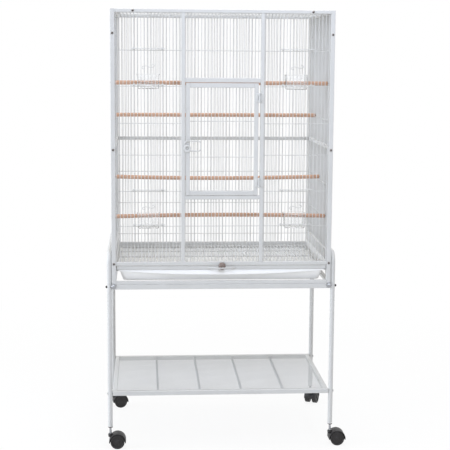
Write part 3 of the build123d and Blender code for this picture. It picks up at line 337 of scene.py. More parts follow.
def plated_steel(name, tone, roughness, scratch_depth):
    """Plated steel: bright metal with fine scratches from handling."""
    material, tree, place = start_material(name)
    # Scratches are about 0.3 mm wide and are drawn at 0.8 mm so that they show.
    stretched = add_node(tree, "ShaderNodeMapping", {"Vector": place, "Scale": (
        1 / (0.8 * MM), 1 / (0.8 * MM), 1 / (9 * MM))})
    scratch = add_node(tree, "ShaderNodeTexNoise", {"Vector": stretched.outputs["Vector"], "Scale": 1.0,
                                                    "Detail": 3.0})
    gloss = add_node(tree, "ShaderNodeMapRange", {"Value": scratch.outputs["Fac"], "To Min": roughness,
                                                  "To Max": roughness + 0.14})
    lines = add_node(tree, "ShaderNodeBump", {"Height": scratch.outputs["Fac"], "Strength": scratch_depth,
                                              "Distance": 0.1 * MM})
    shader = add_node(tree, "ShaderNodeBsdfPrincipled", {
        "Base Color": rgba(tone), "Metallic": 1.0, "Roughness": gloss.outputs["Result"],
        "Normal": lines.outputs["Normal"]})
    end_material(tree, shader)
    return material


class BIRD_CAGE_OT_finishes(bpy.types.Operator):
    """Make the finishes and put them on the CAD pieces"""

    bl_idname = "bird_cage.finishes"
    bl_label = "Finishes"

    def execute(self, context):
        colours = context.scene.cage_colours
        coat = powder_coated_steel("powder_coated_steel", colours.coat, colours.coat_shade)
        FINISHES.update({
            "white_powder_coat": coat,
            "white_wire": coat,
            "white_sheet": powder_coated_steel("enamelled_sheet", colours.sheet, colours.sheet_shade),
            "perch_wood": sanded_dowel(colours),
            "clear_cup_plastic": clear_polystyrene(colours),
            "black_caster_plastic": moulded_nylon(colours),
            "black_knob_plastic": smooth_finish("moulded_abs", colours.knob, 0.18),
            "brown_socket_plastic": smooth_finish("moulded_polyethylene", colours.socket, 0.5),
            "chrome_steel": plated_steel("chrome_plated_steel", colours.chrome, 0.15, 0.04),
            "zinc_steel": plated_steel("zinc_plated_steel", colours.zinc, 0.3, 0.1),
            "black_steel": smooth_finish("black_oxide_steel", colours.black_steel, 0.35),
        })
        for node, slot in SLOTS.items():
            mesh = frame["nodes"][node].data
            mesh.materials.clear()
            mesh.materials.append(FINISHES[slot])
        return {"FINISHED"}


def finish_piece(bm, name, body, *nodes, slot=None, sharp=38):
    """Turn a finished shape into a piece that rides a body and stands for its CAD nodes."""
    mesh = bpy.data.meshes.new(name)
    bm.to_mesh(mesh)
    bm.free()
    slot = slot or SLOTS[nodes[0]]
    mesh.materials.append(FINISHES[slot])
    mesh.shade_smooth()
    mesh.set_sharp_from_angle(angle=radians(sharp))
    piece = bpy.data.objects.new(name, mesh)
    bpy.context.scene.collection.objects.link(piece)
    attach(piece, body)
    if nodes:
        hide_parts(*nodes)


def solids(node):
    """Boxes of a CAD node's separate solids, as lowest and highest corners in a steady order."""
    bm = bmesh.new()
    bm.from_mesh(frame["nodes"][node].data)
    bmesh.ops.remove_doubles(bm, verts=bm.verts[:], dist=MERGE)
    boxes = []
    unseen = set(bm.verts)
    while unseen:
        reached = [unseen.pop()]
        corners = []
        while reached:
            vert = reached.pop()
            corners.append(vert.co.copy())
            for edge in vert.link_edges:
                other = edge.other_vert(vert)
                if other in unseen:
                    unseen.remove(other)
                    reached.append(other)
        columns = list(zip(*corners))
        lowest = Vector([min(column) for column in columns])
        highest = Vector([max(column) for column in columns])
        boxes.append((lowest, highest))
    bm.free()
    return sorted(boxes, key=lambda box: tuple(round(value, 5) for value in box[0]))


def centre(box):
    """Middle of a box."""
    return (box[0] + box[1]) / 2


def underside(box):
    """Middle of a box's underside."""
    place = centre(box)
    place.z = box[0].z
    return place


def outward(box, axis):
    """Side that a fitting is on along an axis, and the middle of its inner end."""
    place = centre(box)
    side = 1 if place[axis] > 0 else -1
    place[axis] = box[0][axis] if side > 0 else box[1][axis]
    return side, place


def under_head(box, axis, head):
    """Side that a bolt is on along an axis, and the middle of the seat under its head."""
    side, seat = outward(box, axis)
    seat[axis] = side * (max(abs(box[0][axis]), abs(box[1][axis])) - head)
    return side, seat


def facing(origin, ahead, aside=X_AXIS):
    """Matrix that stands a shape's own Z along one direction, with its X near another."""
    ahead = ahead.normalized()
    right = (aside - ahead * aside.dot(ahead)).normalized()
    return Matrix.Translation(origin) @ Matrix((right, ahead.cross(right), ahead)).transposed().to_4x4()


def join(bm, shape, matrix=None):
    """Add a shape to a piece at its place, with its doubles merged and its faces pointing outwards."""
    part = shape.copy()
    bmesh.ops.remove_doubles(part, verts=part.verts[:], dist=MERGE)
    bmesh.ops.recalc_face_normals(part, faces=part.faces[:])
    part.transform(matrix or Matrix())
    mesh = bpy.data.meshes.new("joined")
    part.to_mesh(mesh)
    part.free()
    bm.from_mesh(mesh)
    bpy.data.meshes.remove(mesh)


def single_piece(shape, matrix, name, body, *nodes, slot=None):
    """Make a piece of one shape at its place."""
    bm = bmesh.new()
    join(bm, shape, matrix)
    finish_piece(bm, name, body, *nodes, slot=slot)


def arc(middle, radii, start, end, steps):
    """Points of a round or oval arc in an outline, from one angle to another in degrees."""
    angles = [radians(start + (end - start) * step / steps) for step in range(steps + 1)]
    return [(middle[0] + radii[0] * cos(angle), middle[1] + radii[1] * sin(angle)) for angle in angles]


def turned(outline, steps=24, closed=False):
    """Shape turned about Z from an outline of radius and height pairs in millimetres."""
    bm = bmesh.new()
    verts = [bm.verts.new((radius * MM, 0, height * MM)) for radius, height in outline]
    edges = [bm.edges.new(pair) for pair in zip(verts, verts[1:])]
    if closed:
        edges.append(bm.edges.new((verts[-1], verts[0])))
    bmesh.ops.spin(bm, geom=verts + edges, cent=(0, 0, 0), axis=Z_AXIS, angle=tau, steps=steps,
                   use_merge=True)
    bmesh.ops.remove_doubles(bm, verts=bm.verts[:], dist=MERGE)
    return bm


def soften(bm, edges, offset, segments=2):
    """Round a set of edges."""
    bmesh.ops.bevel(bm, geom=edges, offset=offset, offset_type="OFFSET", segments=segments, profile=0.5,
                    affect="EDGES", material=-1, clamp_overlap=True)


def sharp_edges(bm, degrees=50):
    """Edges where two faces meet at more than an angle."""
    bm.normal_update()
    shared = [edge for edge in bm.edges if len(edge.link_faces) == 2]
    return [edge for edge in shared if edge.calc_face_angle() > radians(degrees)]


def drawn_out(bm, loop, step):
    """Extrude a ring of edges by a step and return the new ring."""
    grown = bmesh.ops.extrude_edge_only(bm, edges=loop)["geom"]
    verts = {item for item in grown if isinstance(item, bmesh.types.BMVert)}
    bmesh.ops.translate(bm, vec=step, verts=list(verts))
    return [item for item in grown if isinstance(item, bmesh.types.BMEdge) and set(item.verts) <= verts]


def pushed_out(bm, faces, step):
    """Extrude a field of faces by a step and return its new vertices."""
    grown = bmesh.ops.extrude_face_region(bm, geom=faces)["geom"]
    verts = [item for item in grown if isinstance(item, bmesh.types.BMVert)]
    bmesh.ops.translate(bm, vec=step, verts=verts)
    return verts


def swung(bm, loop, middle, axis, angle, steps):
    """Spin a ring of edges through a bend and return the new ring."""
    verts = list({vert for edge in loop for vert in edge.verts})
    spun = bmesh.ops.spin(bm, geom=verts + loop, cent=middle, axis=axis, angle=angle, steps=steps)
    return [item for item in spun["geom_last"] if isinstance(item, bmesh.types.BMEdge)]


def ring_at(bm, place, way, diameter, sides=12, flat=None):
    """Ring of edges across a direction: a circle, or a flat bar's section of width and thickness."""
    stand = Matrix.Translation(place) @ way.to_track_quat("Z", "Y").to_matrix().to_4x4()
    if flat:
        square = Matrix.Diagonal((flat[0], flat[1], 1, 1)) @ Matrix.Rotation(tau / 8, 4, "Z")
        verts = bmesh.ops.create_circle(bm, segments=4, radius=sqrt(0.5), matrix=stand @ square)["verts"]
    else:
        verts = bmesh.ops.create_circle(bm, segments=sides, radius=diameter / 2, matrix=stand)["verts"]
    return list({edge for vert in verts for edge in vert.link_edges})


def close_rings(bm, loops, rounding):
    """Close rings of edges with faces whose rims are rounded."""
    for loop in loops:
        bmesh.ops.edgeloop_fill(bm, edges=loop)
        soften(bm, loop, rounding)


def bent_wire(points, bend, diameter, sides=12, steps=6, flat=None):
    """Wire or flat bar through a line of points, bent round each corner, with softened ends."""
    bm = bmesh.new()
    points = [Vector(point) for point in points]
    way = (points[1] - points[0]).normalized()
    at = points[0]
    first = ring_at(bm, at, way, diameter, sides, flat)
    loop = first
    for corner, beyond in zip(points[1:-1], points[2:]):
        onward = (beyond - corner).normalized()
        turn = way.angle(onward)
        setback = bend * tan(turn / 2)
        start = corner - way * setback
        loop = drawn_out(bm, loop, start - at)
        axis = way.cross(onward).normalized()
        loop = swung(bm, loop, start + axis.cross(way) * bend, axis, turn, steps)
        at = corner + onward * setback
        way = onward
    loop = drawn_out(bm, loop, points[-1] - at)
    close_rings(bm, (first, loop), WIRE_END * (min(flat) if flat else diameter))
    return bm


def block(low, high):
    """Plain block between two corners, to be shaped further."""
    bm = bmesh.new()
    bmesh.ops.create_cube(bm, size=1.0)
    bmesh.ops.scale(bm, vec=Vector(high) - Vector(low), verts=bm.verts[:])
    bmesh.ops.translate(bm, vec=(Vector(low) + Vector(high)) / 2, verts=bm.verts[:])
    return bm


def hex_nut(radius, height, edge):
    """Six-sided nut with softened edges, standing on its seat."""
    nut = bmesh.new()
    bmesh.ops.create_cone(nut, cap_ends=True, segments=6, radius1=radius, radius2=radius, depth=height,
                          matrix=Matrix.Translation((0, 0, height / 2)))
    soften(nut, nut.edges[:], edge)
    return nut


def rounded_block(low, high, rounding, segments=2):
    """Block between two corners with softened edges."""
    bm = block(low, high)
    soften(bm, bm.edges[:], rounding, segments)
    return bm


def sheet_pan(low, high, lean_x, lean_y, corner, sole):
    """Open pan of thin surface whose foot is drawn in, with rounded corners, and its brim's edges."""
    bm = block(low, high)
    height = high.z - low.z
    bmesh.ops.delete(bm, geom=[face for face in bm.faces if face.normal.z > 0.9], context="FACES_ONLY")
    for vert in bm.verts:
        if vert.co.z < low.z + height / 2:
            vert.co.x += lean_x[0] if vert.co.x < (low.x + high.x) / 2 else -lean_x[1]
            vert.co.y += lean_y[0] if vert.co.y < (low.y + high.y) / 2 else -lean_y[1]
    upright = [edge for edge in bm.edges if abs(edge.verts[0].co.z - edge.verts[1].co.z) > height / 2]
    soften(bm, upright, corner, 6)
    foot = [edge for edge in bm.edges if all(vert.co.z < low.z + MERGE for vert in edge.verts)]
    soften(bm, foot, sole, 3)
    return bm, [edge for edge in bm.edges if edge.is_boundary]


class BIRD_CAGE_OT_perches(bpy.types.Operator):
    """Turn the four wooden perches, straight or a little bowed"""

    bl_idname = "bird_cage.perches"
    bl_label = "Perches"

    def execute(self, context):
        sizes = context.scene.cage_sizes
        straight, sides, bend_steps = 0.1 * MM, 20, 24
        studs = solids("perch_studs")
        for number in range(1, 5):
            node = f"perch_{number}"
            low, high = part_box(node)
            middle = centre((low, high))
            diameter = high.y - low.y
            stud = min(studs, key=lambda box: (centre(box) - middle).yz.length)
            height = centre(stud).z
            bow = 2 * (middle.z - height)
            bm = bmesh.new()
            start = Vector((low.x, middle.y, height))
            if abs(bow) < straight:
                first = ring_at(bm, start, X_AXIS, diameter, sides)
                last = drawn_out(bm, first, X_AXIS * (high.x - low.x))
            else:
                radius = (high.x ** 2 + bow ** 2) / (2 * abs(bow))
                sweep = asin(high.x / radius)
                up = 1 if bow > 0 else -1
                first = ring_at(bm, start, Vector((cos(sweep), 0, up * sin(sweep))), diameter, sides)
                pivot = Vector((0, middle.y, height + bow - up * radius))
                last = swung(bm, first, pivot, Y_AXIS * up, 2 * sweep, bend_steps)
            close_rings(bm, (first, last), sizes.perch_end)
            single_piece(bm, Matrix(), f"dowel_{number}", ROOT, node)
        return {"FINISHED"}


class BIRD_CAGE_OT_perch_fasteners(bpy.types.Operator):
    """Turn the threaded studs, washers and wing nuts of the perches"""

    bl_idname = "bird_cage.perch_fasteners"
    bl_label = "Perch fasteners"

    def execute(self, context):
        pitch, groove, lead = 0.8, 0.35, 0.6
        studs = bmesh.new()
        for box in solids("perch_studs"):
            side, foot = outward(box, 0)
            radius = (box[1].z - box[0].z) / 2 / MM
            run = (box[1].x - box[0].x) / MM
            outline = [(0, 0), (radius - lead, 0)]
            for turn in range(int((run - 2 * lead) / pitch)):
                outline += [(radius - groove, lead + turn * pitch), (radius, lead + (turn + 0.5) * pitch)]
            outline += [(radius - lead, run), (0, run)]
            join(studs, turned(outline, 14), facing(foot, X_AXIS * side, Y_AXIS))
        finish_piece(studs, "threaded_studs", ROOT, "perch_studs", sharp=60)

        bore, edge, bore_edge = 2.6, 0.4, 0.3
        washers = bmesh.new()
        for box in solids("perch_washers"):
            side, foot = outward(box, 0)
            outer = (box[1].z - box[0].z) / 2 / MM
            thick = (box[1].x - box[0].x) / MM
            outline = [(bore, 0), (outer - edge, 0), (outer, edge), (outer, thick - edge),
                       (outer - edge, thick), (bore + edge, thick), (bore, thick - bore_edge)]
            join(washers, turned(outline, 28, closed=True), facing(foot, X_AXIS * side, Y_AXIS))
        finish_piece(washers, "perch_plate_washers", ROOT, "perch_washers")

        collar, shoulder, crown = 5.0, 4.2, 3.6
        wing_half, wing_foot, wing_round = 1 * MM, 1.5 * MM, 0.9 * MM
        nuts = bmesh.new()
        for box in solids("perch_wing_nuts"):
            side, foot = outward(box, 0)
            span = (box[1].y - box[0].y) / 2
            tall = box[1].x - box[0].x
            top = tall / MM
            hub = [(bore, 0), (collar, 0), (collar, 1.0), (shoulder, top - 0.8), (crown, top), (bore, top)]
            stand = facing(foot, X_AXIS * side, Y_AXIS)
            join(nuts, turned(hub, 20, closed=True), stand)
            for low_x, high_x in ((-span, -crown * MM), (crown * MM, span)):
                wing = rounded_block((low_x, -wing_half, wing_foot), (high_x, wing_half, tall), wing_round, 3)
                join(nuts, wing, stand)
        finish_piece(nuts, "wing_nuts", ROOT, "perch_wing_nuts")
        return {"FINISHED"}


class BIRD_CAGE_OT_cups(bpy.types.Operator):
    """Mould the four clear cups with their rims and hooks"""

    bl_idname = "bird_cage.cups"
    bl_label = "Feeder cups"

    def execute(self, context):
        sizes = context.scene.cage_sizes
        sole, hook_room, hook_bend, overlap = 3 * MM, 0.3 * MM, 1.4 * MM, 0.4 * MM
        for place in FEEDERS:
            node = f"feeder_cup_{place}"
            low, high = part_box(node)
            front = high.y - sizes.cup_depth
            rim = Vector((high.x, high.y, low.z + sizes.cup_height - sizes.cup_wall))
            lean = sizes.cup_taper / 2
            shell, brim = sheet_pan(Vector((low.x, front, low.z)), rim, (lean, lean), (0, 2 * lean),
                                    sizes.cup_round, sole)
            # The rim turns out into a narrow flange.
            ring = drawn_out(shell, brim, Vector((0, 0, 0)))
            middle = Vector(((low.x + high.x) / 2, (front + high.y) / 2, 0))
            half_x, half_y = (high.x - low.x) / 2, sizes.cup_depth / 2
            grow = ((half_x + sizes.cup_rim) / half_x, (half_y + sizes.cup_rim) / half_y, 1)
            verts = list({vert for edge in ring for vert in edge.verts})
            bmesh.ops.scale(shell, vec=grow, verts=verts, space=Matrix.Translation(-middle))
            bmesh.ops.recalc_face_normals(shell, faces=shell.faces[:])
            bmesh.ops.solidify(shell, geom=shell.faces[:], thickness=-sizes.cup_wall)
            cup = bmesh.new()
            join(cup, shell)
            # Hooks go over the cross wire between the panel's wires.
            wire_z = low.z + sizes.cup_drop
            hook_z = wire_z + sizes.wire / 2 + hook_room + sizes.hook_thick / 2
            lip_y, end_z = low.y + sizes.hook_thick / 2, low.z + sizes.hook_drop
            for side in (-1, 1):
                x = middle.x + side * 1.5 * sizes.wire_pitch
                route = [(x, front + overlap, hook_z), (x, lip_y, hook_z), (x, lip_y, end_z)]
                join(cup, bent_wire(route, hook_bend, 0, steps=5, flat=(sizes.hook_width, sizes.hook_thick)))
            finish_piece(cup, f"cup_{place}", node, node)
        return {"FINISHED"}


def wire_curl(sizes, middle):
    """S-shaped wire that stands in front of a feeder door, the same when turned half round."""
    lean, sweep, hook = radians(-25), radians(40), radians(200)
    half = bmesh.new()
    loop = ring_at(half, middle, Vector((cos(lean), 0, sin(lean))), sizes.wire)
    pivot = middle + sizes.curl_sweep * Vector((-sin(lean), 0, cos(lean)))
    loop = swung(half, loop, pivot, -Y_AXIS, sweep, 6)
    pivot += (sizes.curl_sweep - sizes.curl_hook) * Vector((sin(lean + sweep), 0, -cos(lean + sweep)))
    loop = swung(half, loop, pivot, -Y_AXIS, hook, 14)
    close_rings(half, [loop], WIRE_END * sizes.wire)
    curl = bmesh.new()
    join(curl, half)
    join(curl, half, Matrix.Translation(middle) @ Matrix.Rotation(pi, 4, "Y") @ Matrix.Translation(-middle))
    return curl


class BIRD_CAGE_OT_feeder_doors(bpy.types.Operator):
    """Weld the four sliding feeder doors from wire, with their sleeves and curls"""

    bl_idname = "bird_cage.feeder_doors"
    bl_label = "Feeder doors"

    def execute(self, context):
        sizes = context.scene.cage_sizes
        outer, bore, tall = sizes.guide_sleeve / 2 / MM, sizes.guide_bore / 2 / MM, sizes.guide_sleeve / MM
        edge, bore_edge, weld = 0.7, 0.5, 0.1 * MM
        sleeve = turned([(bore, bore_edge), (bore + bore_edge, 0), (outer - edge, 0), (outer, edge),
                         (outer, tall - edge), (outer - edge, tall), (bore + bore_edge, tall),
                         (bore, tall - bore_edge)], 20, closed=True)
        # A door slides on the panel's fourth wire to each side, and has its own wires between those.
        guide_wire = 4
        for place in FEEDERS:
            node = f"feeder_door_{place}"
            low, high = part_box(node)
            x = (low.x + high.x) / 2
            bars = (low.z + sizes.guide_sleeve / 2, high.z - sizes.guide_sleeve / 2)
            bar_y = low.y + sizes.feeder_bar / 2
            wire_y = bar_y + (sizes.feeder_bar + sizes.wire) / 2 - weld
            guide_y = high.y - sizes.guide_sleeve / 2
            door = bmesh.new()
            for z in bars:
                join(door, bent_wire([(low.x, bar_y, z), (high.x, bar_y, z)], 0, sizes.feeder_bar))
                for step in (-guide_wire, guide_wire):
                    seat = (x + step * sizes.wire_pitch, guide_y, z - sizes.guide_sleeve / 2)
                    join(door, sleeve, Matrix.Translation(seat))
            for step in range(1 - guide_wire, guide_wire):
                at = x + step * sizes.wire_pitch
                ends = [(at, wire_y, bars[0] - sizes.wire), (at, wire_y, bars[1] + sizes.wire)]
                join(door, bent_wire(ends, 0, sizes.wire, sides=10))
            middle = Vector((x, wire_y - sizes.wire + weld, (bars[0] + bars[1]) / 2 + sizes.curl_rise))
            join(door, wire_curl(sizes, middle))
            finish_piece(door, f"wire_{node}", node, node)
        return {"FINISHED"}


class BIRD_CAGE_OT_latch(bpy.types.Operator):
    """Turn the latch's hub, bend its lever and cut its cam"""

    bl_idname = "bird_cage.latch"
    bl_label = "Latch"

    def execute(self, context):
        sizes = context.scene.cage_sizes
        low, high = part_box("latch_hub")
        axis = centre((low, high))
        radius, thick = (high.x - low.x) / 2 / MM, sizes.hub_thick / MM
        seat_y = low.y + sizes.hub_thick
        end = -(high.y - seat_y) / MM
        # A raised ring goes round a dished recess with a domed rivet in it.
        shaft, shaft_edge, back_edge, rim_round = 2.5, 0.4, 0.8, 2.4
        dish, dish_round, dish_deep, rivet, rivet_tall = 8.2, 1.4, 4.6, 3.6, 3.2
        floor = thick - dish_deep
        outline = [(0, end), (shaft - shaft_edge, end), (shaft, end + shaft_edge), (shaft, 0),
                   (radius - back_edge, 0), (radius, back_edge)]
        outline += arc((radius - rim_round, thick - rim_round), (rim_round, rim_round), 0, 90, 6)
        outline += arc((dish, thick - dish_round), (dish_round, dish_round), 90, 180, 4)
        outline += [(6.8, floor + 0.2), (6.4, floor), (rivet + 0.2, floor)]
        outline += arc((0, floor), (rivet, rivet_tall), 10, 90, 5)
        stand = facing((axis.x, seat_y, axis.z), -Y_AXIS)
        single_piece(turned(outline, 40), stand, "hub_with_shaft", "latch", "latch_hub")

        low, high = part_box("latch_lever")
        wire = high.y - low.y
        y = (low.y + high.y) / 2
        left, right, bottom, top = low.x + wire / 2, high.x - wire / 2, low.z + wire / 2, high.z - wire / 2
        # Both ends of the wire stop inside the hub.
        inside = 4 * MM
        route = [(left, y, axis.z + inside), (left, y, top), (right, y, top), (right, y, bottom),
                 (axis.x + inside, y, bottom)]
        loop = bent_wire(route, sizes.lever_bend, wire, sides=16, steps=8)
        single_piece(loop, Matrix(), "lever_loop", "latch", "latch_lever")

        low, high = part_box("latch_cam")
        cam_corner, cam_edge = 4 * MM, 0.4 * MM
        plate = block(low, high)
        corners = [edge for edge in plate.edges if abs(edge.verts[0].co.y - edge.verts[1].co.y) > 1 * MM]
        soften(plate, corners, cam_corner, 6)
        soften(plate, sharp_edges(plate), cam_edge)
        single_piece(plate, Matrix(), "cam_plate", "latch", "latch_cam")

        nut = hex_nut(radius=4.6 * MM, height=3 * MM, edge=0.4 * MM)
        stand = facing((axis.x, high.y, axis.z), Y_AXIS)
        single_piece(nut, stand, "latch_nut", "latch", slot="zinc_steel")
        return {"FINISHED"}


class BIRD_CAGE_OT_hinges(bpy.types.Operator):
    """Fold the two door hinges, with their leaves, barrels, pins and rivets"""

    bl_idname = "bird_cage.hinges"
    bl_label = "Door hinges"

    def execute(self, context):
        sizes = context.scene.cage_sizes
        barrel, half_knuckle = sizes.hinge_barrel / 2, sizes.hinge_knuckle / 2
        leaf_edge, knuckle_gap, rivet_reach = 0.5 * MM, 0.3 * MM, 11 * MM
        radius, bore, edge, bore_edge = barrel / MM, 2.1, 0.4, 0.2
        rivet = turned([(2.6, 0), (2.6, 0.2)] + arc((0, 0.2), (2.6, 0.7), 10, 90, 4), 16)
        fixed, moving = bmesh.new(), bmesh.new()
        for piece, node in ((fixed, "door_hinge_pins"), (moving, "door_hinge_knuckles")):
            for low, high in solids(node):
                middle = (low.z + high.z) / 2
                axis_y = low.y + barrel
                leaf_y = (high.y - sizes.hinge_leaf, high.y)
                if piece is fixed:
                    axis_x, leaf_x = low.x + barrel, (high.x - sizes.hinge_leaf_width, high.x)
                    tab_x = (axis_x, leaf_x[0] + sizes.hinge_leaf)
                    spans = [(low.z, middle - half_knuckle - knuckle_gap),
                             (middle + half_knuckle + knuckle_gap, high.z)]
                    run = (high.z - low.z) / MM
                    pin = [(0, -1.2), (1.2, -1.0), (2.2, 0), (2.0, 0.2), (2.0, run - 0.2), (2.2, run),
                           (1.2, run + 1.0), (0, run + 1.2)]
                    join(piece, turned(pin, 14), Matrix.Translation((axis_x, axis_y, low.z)))
                else:
                    axis_x, leaf_x = high.x - barrel, (low.x, low.x + sizes.hinge_leaf_width)
                    tab_x = (leaf_x[1] - sizes.hinge_leaf, axis_x)
                    spans = [(middle - half_knuckle, middle + half_knuckle)]
                leaf = rounded_block((leaf_x[0], leaf_y[0], low.z), (leaf_x[1], leaf_y[1], high.z), leaf_edge)
                join(piece, leaf)
                for start, end in spans:
                    run = (end - start) / MM
                    tube = [(bore, bore_edge), (radius - edge, 0), (radius, edge), (radius, run - edge),
                            (radius - edge, run), (bore, run - bore_edge)]
                    join(piece, turned(tube, 20, closed=True), Matrix.Translation((axis_x, axis_y, start)))
                    tab = rounded_block((tab_x[0], leaf_y[0], start), (tab_x[1], leaf_y[1], end), leaf_edge)
                    join(piece, tab)
                for z in (middle - rivet_reach, middle + rivet_reach):
                    join(piece, rivet, facing((sum(leaf_x) / 2, leaf_y[0], z), -Y_AXIS))
        finish_piece(fixed, "hinge_leaves_and_pins", ROOT, "door_hinge_pins")
        finish_piece(moving, "hinge_knuckles", "door", "door_hinge_knuckles")
        return {"FINISHED"}


class BIRD_CAGE_OT_grate_fittings(bpy.types.Operator):
    """Mould the grate's oval knob and bend its bow pull"""

    bl_idname = "bird_cage.grate_fittings"
    bl_label = "Grate knob and pull"

    def execute(self, context):
        sizes = context.scene.cage_sizes
        low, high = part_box("grate_knob")
        middle = centre((low, high))
        half_x, half_z = (high.x - low.x) / 2 / MM, (high.z - low.z) / 2 / MM
        back = (high.y - low.y - sizes.knob_thick) / MM
        face = back + sizes.knob_thick / MM
        waist = back + 5
        outline = [(0, back), (half_x - 2.2, back), (half_x - 0.6, back + 0.8), (half_x, back + 2.4)]
        outline += arc((0, waist), (half_x, face - waist), 0, 90, 9)
        oval = Matrix.Diagonal((1, half_z / half_x, 1, 1))
        knob = bmesh.new()
        join(knob, turned(outline, 40), facing((middle.x, high.y, middle.z), -Y_AXIS) @ oval)
        # The neck stands on the lower part of the grate's front strip.
        neck_rise = 6.7 * MM
        strip_low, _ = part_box("floor_grate")
        neck = sizes.knob_neck / 2 / MM
        collar = [(0, 0), (neck + 1.2, 0), (neck + 1.2, 0.6), (neck, 1.2), (neck, back + 1), (0, back + 1)]
        join(knob, turned(collar, 24), facing((middle.x, high.y, strip_low.z + neck_rise), -Y_AXIS))
        finish_piece(knob, "oval_knob", "grate", "grate_knob")

        low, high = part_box("grate_pull")
        z = (low.z + high.z) / 2
        ends_y = strip_low.y + sizes.strip_thick
        crown_y = low.y + sizes.pull_wire / 2
        half, rise = sizes.pull_span / 2, ends_y - crown_y
        radius = (half ** 2 + rise ** 2) / (2 * rise)
        sweep = asin(half / radius)
        bow = bmesh.new()
        start = Vector((-half, ends_y, z))
        first = ring_at(bow, start, Vector((cos(sweep), -sin(sweep), 0)), sizes.pull_wire, 14)
        last = swung(bow, first, Vector((0, crown_y + radius, z)), Z_AXIS, 2 * sweep, 28)
        close_rings(bow, (first, last), 0.3 * MM)
        single_piece(bow, Matrix(), "bow_pull", "grate", "grate_pull")
        return {"FINISHED"}


class BIRD_CAGE_OT_tray(bpy.types.Operator):
    """Press the tray from sheet, with its flange and its bowed front lip"""

    bl_idname = "bird_cage.tray"
    bl_label = "Tray"

    def execute(self, context):
        sizes = context.scene.cage_sizes
        sole, lip_edge, lip_steps = 4 * MM, 0.7 * MM, 48
        low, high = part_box("tray")
        brim_z = high.z - sizes.tray_rise - sizes.tray_sheet
        wall_low = Vector((low.x + sizes.tray_flange, low.y + sizes.tray_front, low.z))
        wall_high = Vector((high.x - sizes.tray_flange, high.y - sizes.tray_back, brim_z))
        lean = (sizes.tray_slope, sizes.tray_slope)
        shell, brim = sheet_pan(wall_low, wall_high, lean, lean, sizes.tray_round, sole)
        ring = drawn_out(shell, brim, Vector((0, 0, 0)))
        middle = centre((wall_low, wall_high))
        # The flange reaches the runners at the sides and the lip at the front.
        slant = sizes.lip_lean / sizes.lip_middle
        lip_y = low.y + sizes.lip_lean - slant * (high.z - brim_z) + sizes.tray_sheet / 2
        flange_low, flange_high = (low.x, lip_y), (high.x, high.y)
        for vert in {vert for edge in ring for vert in edge.verts}:
            for axis in (0, 1):
                away = vert.co[axis] - middle[axis]
                flange, wall = (flange_low, wall_low) if away < 0 else (flange_high, wall_high)
                grow = (flange[axis] - middle[axis]) / (wall[axis] - middle[axis])
                vert.co[axis] = middle[axis] + away * grow
        bmesh.ops.recalc_face_normals(shell, faces=shell.faces[:])
        bmesh.ops.solidify(shell, geom=shell.faces[:], thickness=-sizes.tray_sheet)
        tray = bmesh.new()
        join(tray, shell)

        # The lip leans back a little and its lower edge is a long arc between its two ends.
        lip = bmesh.new()
        bmesh.ops.create_grid(lip, x_segments=lip_steps, y_segments=1, size=1.0)
        sagitta = sizes.lip_middle - sizes.lip_end
        radius = (sizes.lip_half ** 2 + sagitta ** 2) / (2 * sagitta)
        for vert in lip.verts:
            x = vert.co.x * sizes.lip_half
            droop = sizes.lip_middle - radius + sqrt(radius ** 2 - x ** 2)
            fall = 0 if vert.co.y > 0 else droop
            vert.co = Vector((x, low.y + sizes.lip_lean - slant * fall, high.z - fall))
        lip.normal_update()
        pushed_out(lip, lip.faces[:], (0, sizes.tray_sheet, 0))
        soften(lip, sharp_edges(lip), lip_edge, 3)
        join(tray, lip)
        finish_piece(tray, "pressed_tray", "tray", "tray")
        return {"FINISHED"}


def pan_head(diameter, height):
    """Pan head with a cross recess, standing on its seat."""
    radius, tall = diameter / 2 / MM, height / MM
    rim_tall, flat = 0.35 * tall, 0.62 * radius
    outline = [(0, 0), (radius, 0), (radius, rim_tall)]
    outline += arc((flat, rim_tall), (radius - flat, tall - rim_tall), 15, 90, 5)
    head = turned(outline, 24)
    rim = [edge for edge in head.edges if edge.is_boundary]
    recess, recess_deep, recess_taper = 0.3 * diameter, 0.5 * height, 0.75
    grid = bmesh.ops.create_grid(head, x_segments=3, y_segments=3, size=recess,
                                 matrix=Matrix.Translation((0, 0, height)))["verts"]
    faces = {face for vert in grid for face in vert.link_faces}
    border = [edge for face in faces for edge in face.edges if edge.is_boundary]
    bmesh.ops.bridge_loops(head, edges=rim + border)
    # The grid's middle row and column sink in as a cross.
    cross = [face for face in faces if min(map(abs, face.calc_center_median().xy)) < 0.1 * recess]
    sunk = pushed_out(head, cross, (0, 0, -recess_deep))
    bmesh.ops.delete(head, geom=[face for face in cross if face.is_valid], context="FACES_ONLY")
    bmesh.ops.scale(head, vec=(recess_taper, recess_taper, 1), verts=sunk)
    return head


